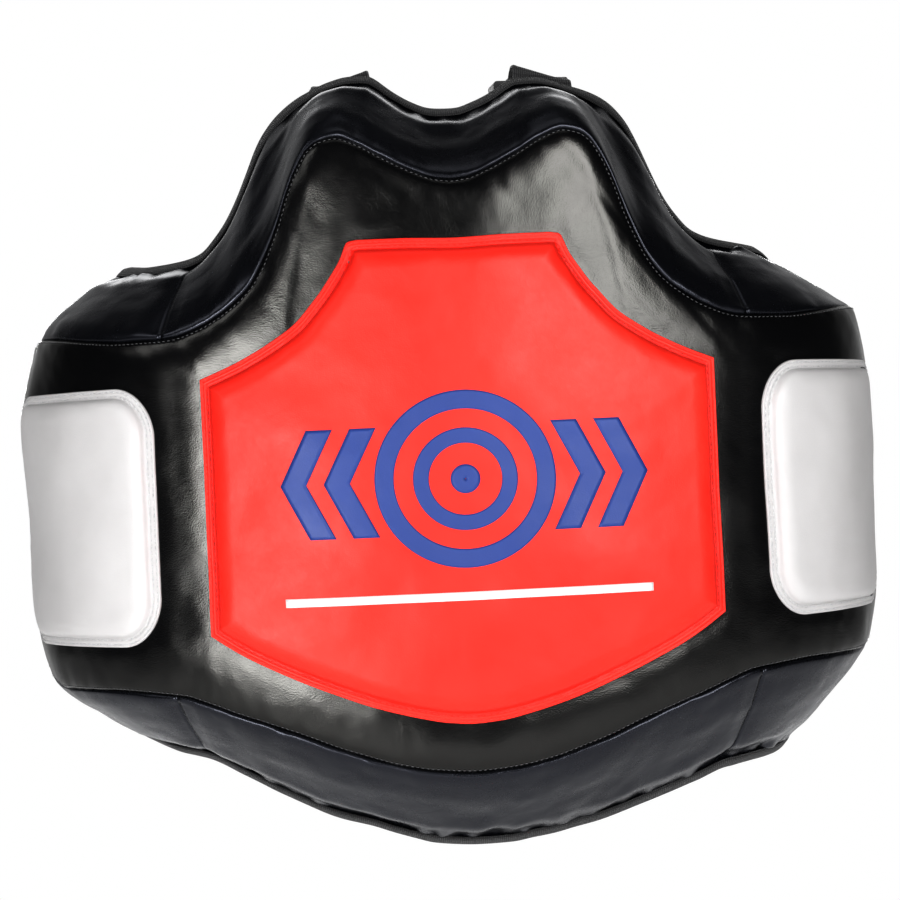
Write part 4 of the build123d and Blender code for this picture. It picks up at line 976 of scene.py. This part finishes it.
edge_ts = np.unique(np.concatenate([[0, 0.0012, 0.0035, 0.007], np.linspace(0.010, 0.1, 40), np.linspace(0.1, 0.9, 110),
                                    np.linspace(0.9, 0.990, 40), [0.993, 0.9965, 0.9988, 1]]))
cus = np.unique(np.concatenate([CU - np.array([0, 0.25, 0.6, 1.0]), CU - np.linspace(1.5, 26, 42), np.linspace(0, CU - 26, 80)]))
cus = np.unique(np.concatenate([-cus, cus]))
centre_pad, centre_surface = make_pad("centre_pad_skin", centre_poly, cus, pad_b, pad_t, edge_ts, 6.2, 13.0, 12.6, 2.2, 70.0,
                                      M_RED, ("centre_pad_cover",), 3, wave=0.42)
spots = []
for d in (1.9, 4.6):
    q = inset(centre_poly, d)
    p3 = centre_surface(q[:, 0], q[:, 1], 0.32)
    spots += along_line(p3, outn(u_of(q[:, 0])), 3.9)
stitches("centre_pad_stitches", spots, M_TH_RED, length=3.0, width=0.75, height=0.7)

for side, sgn, poly in (("left", -1.0, left_poly), ("right", 1.0, right_poly)):
    pl = densify(poly, 1.2)

    # the outline's lower and upper edge at each u
    def limits(up, pl=pl):
        def f(u, pl=pl, up=up):
            a = a_of(u)
            mid = (S0 + S1) / 2 * np.sign(a_of(200) * sgn)
            c = pl[pl[:, 1] > -27] if up else pl[pl[:, 1] <= -27]
            o = np.argsort(c[:, 0])
            return np.interp(a, c[o, 0], c[o, 1])
        return f
    alo, ahi = np.abs(pl[:, 0]).min(), np.abs(pl[:, 0]).max()
    aa_ = np.concatenate([alo + np.array([0, 0.15, 0.4, 0.8, 1.3, 2.0, 3.0]), np.linspace(alo + 4, alo + 26, 26),
                          np.linspace(alo + 28, ahi - 28, 34), np.linspace(ahi - 26, ahi - 4, 26),
                          ahi - np.array([3.0, 2.0, 1.3, 0.8, 0.4, 0.15, 0])])
    us = np.sort(sgn * u_of(np.unique(aa_)))
    pad, surf = make_pad(side + "_pad_skin", poly, us, limits(False), limits(True), edge_ts, 5.8, 12.0, 8.4, 1.4, 45.0,
                         M_WHITE, (side + "_pad_cover",), 5 + int(sgn), wave=0.3,
                         thin=lambda u: 1.0 - np.where(u > 0, 0.72, 0.55) * sstep((np.abs(u) - 192) / 38.0))
    spots = []
    for d in (1.9, 4.6):
        q = inset(poly, d)
        p3 = surf(q[:, 0], q[:, 1], 0.32)
        spots += along_line(p3, outn(u_of(q[:, 0])), 3.9)
    stitches(side + "_pad_stitches", spots, M_TH_WHITE, length=3.0, width=0.72, height=0.65)


# ------------------------------------------------------------------ plain printed target mark
def decal(name, a_grid, z_grid, mat):
    top = centre_surface(a_grid, z_grid, 0.28)
    ob = grids(name, [(top, False)], merge=0.01)
    thicken(ob, 0.25)
    done(ob, mat)
    return ob


def ring_grid(cx, cz, r0, r1, nr=10, nt=160):
    r, t = np.meshgrid(np.linspace(r0, r1, nr), np.linspace(0, 2 * math.pi, nt), indexing="ij")
    return cx + r * np.cos(t), cz + r * np.sin(t)


def bar_grid(x0, x1, z0, z1, step=3.0, slant=0.0):
    nx, nz = max(3, int((x1 - x0) / step)), max(3, int((z1 - z0) / step))
    zz, xx = np.meshgrid(np.linspace(z0, z1, nz), np.linspace(x0, x1, nx), indexing="ij")
    return xx + slant * (zz - z0), zz


MX, MZ = 0.0, -12.0
decal("target_ring_outer", *ring_grid(MX, MZ, 52, 41), M_BLUE)
decal("target_ring_inner", *ring_grid(MX, MZ, 30, 21, nt=120), M_BLUE)
decal("target_dot", *ring_grid(MX, MZ, 8.5, 0.2, nr=5, nt=60), M_BLUE)
for sg, nm in ((-1, "left"), (1, "right")):
    for k, x0 in enumerate((66.0, 91.0)):
        zz, xx = np.meshgrid(np.linspace(-32, 32, 33), np.linspace(0, 15, 7), indexing="ij")
        decal("chevron_%s_%d" % (nm, k + 1), MX + sg * (x0 + xx - 0.5 * np.abs(zz)), MZ + zz, M_BLUE)
decal("target_line", *bar_grid(-106, 106, -83, -78), M_PRINT_WHITE)


# ------------------------------------------------------------------ harness
def resample(pts, ws, step=3.0):
    """A smooth curve through the points with its width vectors."""
    p, w = np.asarray(pts, float), np.asarray(ws, float)
    s = np.concatenate([[0], np.cumsum(np.linalg.norm(np.diff(p, axis=0), axis=1))])
    at = np.linspace(0, s[-1], max(4, int(s[-1] / step)))
    m = np.gradient(p, s, axis=0)
    i = np.clip(np.searchsorted(s, at, side="right") - 1, 0, len(s) - 2)
    h = (s[i + 1] - s[i])[:, None]
    t = ((at - s[i])[:, None]) / h
    c = ((2 * t ** 3 - 3 * t ** 2 + 1) * p[i] + (t ** 3 - 2 * t ** 2 + t) * h * m[i]
         + (-2 * t ** 3 + 3 * t ** 2) * p[i + 1] + (t ** 3 - t ** 2) * h * m[i + 1])
    ww = np.stack([np.interp(at, s, w[:, k]) for k in range(3)], 1)
    return c, ww, at


def ribbon(name, pts, ws, width=38.0, thick=1.9, step=3.0, body="vest", mat=None, nodes=(), smooth=True):
    c, w, at = resample(pts, ws, step) if smooth else (np.asarray(pts, float), np.asarray(ws, float), None)
    if at is None:
        at = np.concatenate([[0], np.cumsum(np.linalg.norm(np.diff(c, axis=0), axis=1))])
    t = unit(np.gradient(c, axis=0))
    w = unit(w - np.sum(w * t, -1, keepdims=True) * t)
    nrm = np.cross(t, w)
    hw, ht = width / 2, thick / 2
    xs = [-hw, -hw + 0.35, -hw + 1.0, -hw + 2.2, -hw + 3.0] + list(np.linspace(-hw + 6, hw - 6, 9)) + [hw - 3.0, hw - 2.2, hw - 1.0, hw - 0.35, hw]
    up = [0, 0.75, 1.0, 1.0, 0.88] + [0.9] * 9 + [0.88, 1.0, 1.0, 0.75, 0]
    sec = [(x, ht * k) for x, k in zip(xs, up)] + [(x, -ht * k) for x, k in list(zip(xs, up))[::-1][1:-1]]
    ring = np.array([c + w * x + nrm * y for x, y in sec])      # section x length
    ring = np.concatenate([ring, ring[:1]])
    per = np.concatenate([[0], np.cumsum(np.hypot(*np.diff(np.array(sec + sec[:1]), axis=0).T))])
    uv = np.stack(np.broadcast_arrays(at[None, :], per[:, None]), -1)
    ob = grids(name, [(ring, True)], merge=0.02, uvs=[uv])
    # close both ends
    bm = bmesh.new()
    bm.from_mesh(ob.data)
    bmesh.ops.holes_fill(bm, edges=[e for e in bm.edges if e.is_boundary], sides=0)
    bmesh.ops.recalc_face_normals(bm, faces=bm.faces)
    bm.to_mesh(ob.data)
    bm.free()
    done(ob, mat or M_WEB, body=body, nodes=nodes)
    return ob, c, w, nrm


INNER, OUTER, SLOPE, CROSS_Z, WAIST_Z = -3.4, -1.0, 0.5, 130.0, -75.0
phi = math.atan2(SLOPE, 1.0)
BUCKLE_AT, H_BACK, T_END = 62.0, -24.0, 44.0


def flank(s, u, n, z):
    _, x, y, t = plan(u)
    return np.array([s * float(x + n * np.sin(t)), float(y - n * np.cos(t)), z])


def strap_n(v, base):
    if v <= U_IN:
        return INNER
    if v >= U4:
        return base
    return INNER + (base - INNER) * (v - U_IN) / (U4 - U_IN)


def diag_point(s, u, base):
    return flank(s, u, strap_n(u, base), CROSS_Z - SLOPE * (U_CENTRE - u))


def diag_width(s, u):
    _, x, y, t = plan(u)
    v = np.array([-s * math.cos(t) * SLOPE, -math.sin(t) * SLOPE, 1.0])
    return v / np.linalg.norm(v)


def u_at(along):
    return U_CENTRE - along * math.cos(phi)


def upper_path(s, base, u_from):
    o = -s
    pts = [(diag_point(s, v, base), diag_width(s, v)) for v in (u_from, U_CENTRE + 0.01, U_CENTRE + 24, U_CENTRE + 40)]
    y0 = c4y + R_BACK + base
    w0 = diag_width(s, U_CENTRE)
    _, x, y, t = [float(k) for k in plan(64.0)]
    nx, ny = o * math.sin(t), -math.cos(t)
    acr = np.array([s * math.cos(t), s * o * math.sin(t), 0.0])
    xz = CROSS_Z + 20.0
    for p, k in (((o * 46.5, y0 - 3.0, xz + 12), 0.20), ((o * 51.0, y0 - 11.0, xz + 27), 0.42),
                 ((o * 53.0, y0 - 24.0, xz + 43.5), 0.62), ((o * 53.7, y0 - 42.0, xz + 58.5), 0.78),
                 ((o * 53.7, y0 - 62.0, xz + 71.0), 0.90), ((o * 53.5, y0 - 84.0, xz + 80.5), 0.97)):
        w = w0 * (1 - k) + acr * k
        pts.append((np.array(p), w / np.linalg.norm(w)))
    # over the bound edge the webbing rides up a little, higher towards the neck
    for n, z, lean in ((-100, 237, 0), (-88, 237, 0), (-60, 237, 0), (-42, 237.0, 0), (-30, 237.0, 0), (-24, 237.0, 0), (-20.5, 237.0, 0), (-18.2, 237.0, 0), (-14.0, 237.8, 10), (-10.0, 238.6, 19),
                       (-6.2, 236.4, 19), (-4.2, 230.6, 13), (-3.1, 225, 4), (-3.0, 212, 0), (-3.0, 200, 0)):
        q = math.radians(lean)
        w = acr * math.cos(q) + np.array([0, 0, 1.0]) * math.sin(q) * (1 if np.dot(acr, [-o, 0, 0]) > 0 else -1)
        pts.append((np.array([o * x + nx * n, y + ny * n, z]), w / np.linalg.norm(w)))
    return [p for p, w in pts], [w for p, w in pts]


dirs = {"right": np.array([math.cos(phi), 0, -math.sin(phi)]), "left": np.array([-math.cos(phi), 0, -math.sin(phi)]),
        "waist": np.array([1.0, 0, 0])}
orig = {"right": np.array([0, c4y + R_BACK + INNER, CROSS_Z]) + dirs["right"] * BUCKLE_AT,
        "left": np.array([0, c4y + R_BACK + OUTER, CROSS_Z]) + dirs["left"] * BUCKLE_AT,
        "waist": np.array([0, c4y + R_BACK + INNER, WAIST_Z])}
YN = np.array([0, 1.0, 0])

p, w = upper_path(1, INNER, u_at(BUCKLE_AT + H_BACK - 0.1) + 9.0)
left_sh, lc, lw_, ln_ = ribbon("left_shoulder_webbing", p, w, nodes=("left_shoulder_strap",))
p, w = upper_path(-1, OUTER, u_at(BUCKLE_AT + H_BACK - 0.1) + 9.0)
right_sh, rc, rw_, rn_ = ribbon("right_shoulder_webbing", p, w, nodes=("right_shoulder_strap",))

for side, s, base in (("right", 1, INNER), ("left", -1, OUTER)):
    us = [286, 290, 302, U_IN, 326, 338, 350, 362, 374, 386, 397, U4, U4 + 0.5]
    ribbon(side + "_lower_webbing", [diag_point(s, v, base) for v in us], [diag_width(s, v) for v in us],
           nodes=(side + "_lower_strap",))
    u_end = u_at(BUCKLE_AT + T_END + 0.1) - 9.0
    vs = np.linspace(U4 + 0.5, u_end, 16)
    ob, *_ = ribbon(side + "_lower_webbing_free", [diag_point(s, v, base) for v in vs], [diag_width(s, v) for v in vs], smooth=False)
    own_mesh(ob)

us = [286, 290, 302, U_IN, 326, 338, 350, 362, 374, 386, 397, U4]
pl = [flank(-1, v, INNER, WAIST_Z) for v in us]
pl += [np.array([x, c4y + R_BACK + INNER, WAIST_Z]) for x in np.linspace(pl[-1][0] + 5.0, H_BACK - 7.5, 10)]
ribbon("left_waist_webbing", pl, [(0, 0, 1)] * len(pl), nodes=("left_waist_strap",))
pr = [flank(1, v, INNER, WAIST_Z) for v in us]
ribbon("right_waist_webbing", pr, [(0, 0, 1)] * len(pr), nodes=("right_waist_strap",))
x4 = pr[-1][0]
xs = np.linspace(x4, T_END + 9.0, 22)
ob, *_ = ribbon("right_waist_webbing_free", [np.array([x, c4y + R_BACK + INNER, WAIST_Z]) for x in xs], [(0, 0, 1)] * 22, smooth=False)
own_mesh(ob)


def loop_path(bar_x, reach, over, back):
    """Webbing that comes in flat, goes over a bar at bar_x and folds back under itself: (x, z) in the buckle's frame."""
    s = 1 if reach > 0 else -1          # the side the webbing comes from
    x0 = bar_x + reach
    pts = [(x0, 0.0), (x0 - s * 3, 0.6), (bar_x + s * 9.0, over * 0.55), (bar_x + s * 5.2, over + 0.9), (bar_x + s * 2.0, over + 1.25),
           (bar_x - s * 0.8, over + 1.0), (bar_x - s * 2.1, over - 1.2), (bar_x - s * 2.3, 0.0), (bar_x - s * 2.1, -over + 1.2),
           (bar_x - s * 0.8, -over - 1.0), (bar_x + s * 2.0, -over - 1.25), (bar_x + s * 5.2, -over - 0.9),
           (bar_x + s * 9.0, -over * 0.7), (x0 - s * 3, -2.6), (x0, -2.15), (x0 + s * back * 0.5, -2.05), (x0 + s * back, -2.05)]
    return pts


for side in ("right", "left", "waist"):
    O, dx = orig[side], dirs[side]
    yv = np.cross(YN, dx)
    for part, bar, reach, over, body in (("housing", -22.2, -9.6 if side == "waist" else -11.0, 6.3, "vest"), ("tongue", 40.2, 13.0, 5.1, side + "_tongue")):
        prof = loop_path(bar, reach, over, 12.0 if part == "tongue" else 0.8 if side == "waist" else 22.0)
        pts = [O + dx * x + YN * z for x, z in prof]
        ob, c, w, nn_ = ribbon(side + "_" + part + "_webbing_loop", pts, [yv] * len(pts), step=1.6, body=body, width=37.6)
        # bar tack across the fold
        xe = prof[-1][0] - (3.0 if prof[-1][0] > prof[0][0] else -3.0)
        spots = []
        for dxx in (0.0, 2.2):
            line = np.array([O + dx * (xe - dxx * np.sign(prof[-1][0] - prof[0][0])) + YN * -3.1 + yv * t for t in np.linspace(-16, 16, 30)])
            spots += along_line(line, np.array([-YN] * 30), 2.6)
            line = line + YN * 4.1
            if part == "housing":
                spots += along_line(line, np.array([YN] * 30), 2.6)
        stitches(side + "_" + part + "_bartack", spots, M_TH_BLACK, length=2.0, width=0.7, height=0.6, body=body)


# ------------------------------------------------------------------ patches
def plate(name, poly, to3, thick, mat, nodes, up, rows_=(2.5,), thread_mat=None, pitch=4.0, body="vest"):
    """A stitched flat patch: poly in local (x, y), to3(x, y, h) places it."""
    poly = np.asarray(poly, float)
    ring = densify(poly, 2.0)
    c = ring.mean(0)
    layers = []
    for d, h in ((0.0, -0.3), (0.0, thick * 0.55), (0.35, thick * 0.85), (0.9, thick), (2.5, thick - 0.25), (4.5, thick), (9.0, thick + 0.35)):
        t = unit(np.roll(ring, -1, 0) - np.roll(ring, 1, 0))
        area = 0.5 * np.sum(ring[:, 0] * np.roll(ring[:, 1], -1) - np.roll(ring[:, 0], -1) * ring[:, 1])
        nrm = np.stack([-t[:, 1], t[:, 0]], 1) * (1 if area > 0 else -1)
        q = ring + nrm * d if d < 4 else c + (ring - c) * (1 - d / np.maximum(np.linalg.norm(ring - c, axis=1, keepdims=True), d + 1))
        layers.append(to3(q[:, 0], q[:, 1], h + 0 * q[:, 0]))
    g = np.array(layers)
    g = np.concatenate([g, g[:, :1]], 1)
    k, m = g.shape[:2]
    verts = list(g.reshape(-1, 3)) + [to3(np.array([c[0]]), np.array([c[1]]), np.array([thick + 0.4]))[0]]
    faces = grid_faces(k, m) + [((k - 1) * m + j, (k - 1) * m + j + 1, len(verts) - 1) for j in range(m - 1)]
    ob = new_object(name, np.array(verts), faces)
    bm = bmesh.new()
    bm.from_mesh(ob.data)
    bmesh.ops.remove_doubles(bm, verts=bm.verts, dist=2e-5)
    bmesh.ops.recalc_face_normals(bm, faces=bm.faces)
    bm.to_mesh(ob.data)
    bm.free()
    done(ob, mat, nodes=nodes, body=body)
    spots = []
    for d in rows_:
        q = inset(poly, d)
        spots += along_line(to3(q[:, 0], q[:, 1], thick + 0.25 + 0 * q[:, 0]), up(q[:, 0], q[:, 1]), pitch)
    stitches(name + "_stitches", spots, thread_mat or M_TH_BLACK, length=2.8, width=0.75, height=0.7, body=body)
    return ob


def rounded(x0, x1, y0, y1, r):
    pts = []
    for cx, cy, b in ((x1 - r, y1 - r, 0), (x0 + r, y1 - r, 90), (x0 + r, y0 + r, 180), (x1 - r, y0 + r, 270)):
        for k in range(7):
            t = math.radians(b + 15 * k)
            pts.append((cx + r * math.cos(t), cy + r * math.sin(t)))
    return pts


for side, s in (("left", -1), ("right", 1)):
    plate(side + "_shoulder_patch_skin", rounded(*sorted((s * 42, s * 86)), 182, 216, 5),
          lambda x, y, h: P(x, -0.9 - h * 0.6, y), 1.6, M_PATCH, (side + "_shoulder_patch",),
          lambda x, y: -outn(x))
    plate(side + "_anchor_patch_skin", rounded(*sorted((s * 279, s * 303)), -101, 33, 5),
          lambda x, y, h: P(x, -0.9 - h * 0.6, y), 1.6, M_PATCH, (side + "_anchor_patch",),
          lambda x, y: -outn(x))
yc = c4y + R_BACK + OUTER + 1.05
plate("strap_cross_patch_skin", [(-34, 0), (-28, -14), (0, -26), (28, -14), (34, 0), (28, 14), (0, 26), (-28, 14)],
      lambda x, y, h: np.stack([x, yc + h, y + CROSS_Z], -1), 1.9, M_PATCH, ("strap_cross_patch",),
      lambda x, y: np.tile(YN, (len(x), 1)), rows_=(2.6, 5.4))

# ------------------------------------------------------------------ rows where the straps are sewn down
spots = []
for s, c, w, nn_ in ((-1, lc, lw_, ln_), (1, rc, rw_, rn_)):
    base = c[-1]
    acr = w[-1]
    up = -outn(np.array([s * 64.0]))[0]
    Zv = np.array([0, 0, 1.0])
    for line in ([base + Zv * 3 + acr * -16, base + Zv * 3 + acr * 16], [base + Zv * 22 + acr * -16, base + Zv * 22 + acr * 16],
                 [base + Zv * 3 + acr * -16, base + Zv * 22 + acr * -16], [base + Zv * 3 + acr * 16, base + Zv * 22 + acr * 16],
                 [base + Zv * 3 + acr * -16, base + Zv * 22 + acr * 16], [base + Zv * 3 + acr * 16, base + Zv * 22 + acr * -16]):
        l = np.array([line[0] + (line[1] - line[0]) * t for t in np.linspace(0, 1, 12)]) + up * 1.15
        spots += along_line(l, np.array([up] * 12), 3.0)
stitches("shoulder_box_stitches", spots, M_TH_BLACK, length=2.3, width=0.75, height=0.7)

# ------------------------------------------------------------------ hard parts kept from the frame
for name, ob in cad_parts.items():
    if ob.hide_render:
        continue
    if "buckle" in name or "slider" in name or "keeper" in name:
        set_mat(ob, M_PLASTIC)
        b = ob.modifiers.new("edge", "BEVEL")
        b.width = 0.0007
        b.segments = 3
        b.limit_method = "ANGLE"
        b.angle_limit = math.radians(35)
    elif "foam" in name:
        set_mat(ob, M_FOAM)

# ------------------------------------------------------------------ studio
CAM_DIST, YAW, ROLL = 1.5, math.radians(-2.5), math.radians(2.6)
back = Vector((math.sin(YAW), -math.cos(YAW), 0))
target = Vector((0.0, 0.030, 0.005))
cam_data = bpy.data.cameras.new("camera")
cam = bpy.data.objects.new("camera", cam_data)
scene.collection.objects.link(cam)
cam.location = target + back * CAM_DIST
fwd = -back
rot = fwd.to_track_quat("-Z", "Y").to_matrix().to_4x4()
from mathutils import Matrix
cam.matrix_world = Matrix.Translation(cam.location) @ rot @ Matrix.Rotation(-ROLL, 4, "Z")
cam_data.sensor_width = 36.0
cam_data.lens = 94.67
cam_data.clip_start, cam_data.clip_end = 0.05, 30.0
cam_data.shift_x = -0.006
scene.camera = cam

bm = bmesh.new()
bmesh.ops.create_grid(bm, x_segments=8, y_segments=8, size=4.0)
fl = bpy.data.meshes.new("studio_floor")
bm.to_mesh(fl)
bm.free()
floor = bpy.data.objects.new("studio_floor", fl)
floor.location = (0, -2.5, -0.62)
scene.collection.objects.link(floor)
mf, ntf, bf = base_material("studio_white", Roughness=0.9, Specular_IOR_Level=0.1)
bf.inputs["Base Color"].default_value = (0.93, 0.93, 0.93, 1)
bf.inputs["Emission Color"].default_value = (1, 1, 1, 1)
bf.inputs["Emission Strength"].default_value = 0.3
set_mat(floor, mf)


def area(name, az, el, dist, size, power, size_y=None, color=(1, 1, 1), aim=(0.0, 0.03, 0.02)):
    """A soft box at an azimuth (0 in front, + to the right) and elevation round the object."""
    a, e = math.radians(az), math.radians(el)
    loc = Vector(aim) + Vector((math.sin(a) * math.cos(e), -math.cos(a) * math.cos(e), math.sin(e))) * dist
    l = bpy.data.lights.new(name, "AREA")
    l.shape = "RECTANGLE" if size_y else "SQUARE"
    l.size = size
    if size_y:
        l.size_y = size_y
    l.energy = power
    l.color = color
    o = bpy.data.objects.new(name, l)
    o.location = loc
    o.rotation_euler = (Vector(aim) - loc).to_track_quat("-Z", "Y").to_euler()
    scene.collection.objects.link(o)
    return o


area("key", 22, 11, 1.7, 0.54, 20.5, 0.95)
area("fill", -25, -5, 1.7, 0.48, 17.5, 0.6)
area("fill_high", -58, 35, 1.9, 0.6, 3.5, 0.6)
area("top", 0, 80, 1.5, 1.0, 1.5, 0.5)
area("back_light", 180, 30, 1.9, 1.2, 8.0, 0.9)
area("back_left", 193, 3, 2.0, 0.5, 13.0, 0.7)
area("back_right", 167, 3, 2.0, 0.5, 13.0, 0.7)

# white surround: bright behind the object, dim in front of it, as in a studio sweep
world = bpy.data.worlds.new("studio")
scene.world = world
world.use_nodes = True
wn = world.node_tree
for n in list(wn.nodes):
    wn.nodes.remove(n)
wo = wn.nodes.new("ShaderNodeOutputWorld")
mix = wn.nodes.new("ShaderNodeMixShader")
lp = wn.nodes.new("ShaderNodeLightPath")
seen = wn.nodes.new("ShaderNodeBackground")
seen.inputs[0].default_value = (1, 1, 1, 1)
seen.inputs[1].default_value = 1.0
lit = wn.nodes.new("ShaderNodeBackground")
wtc = wn.nodes.new("ShaderNodeTexCoord")
sep = wn.nodes.new("ShaderNodeSeparateXYZ")
wn.links.new(wtc.outputs["Generated"], sep.inputs[0])
lit.inputs[0].default_value = (1, 1, 1, 1)
wn.links.new(map_range(wn, sep.outputs[1], 0.42, 0.88, 0.02, 0.7), lit.inputs[1])
wn.links.new(lp.outputs["Is Camera Ray"], mix.inputs[0])
wn.links.new(lit.outputs[0], mix.inputs[1])
wn.links.new(seen.outputs[0], mix.inputs[2])
wn.links.new(mix.outputs[0], wo.inputs[0])
scene.view_settings.view_transform = "Standard"
scene.view_settings.look = "None"
scene.view_settings.gamma = 0.76
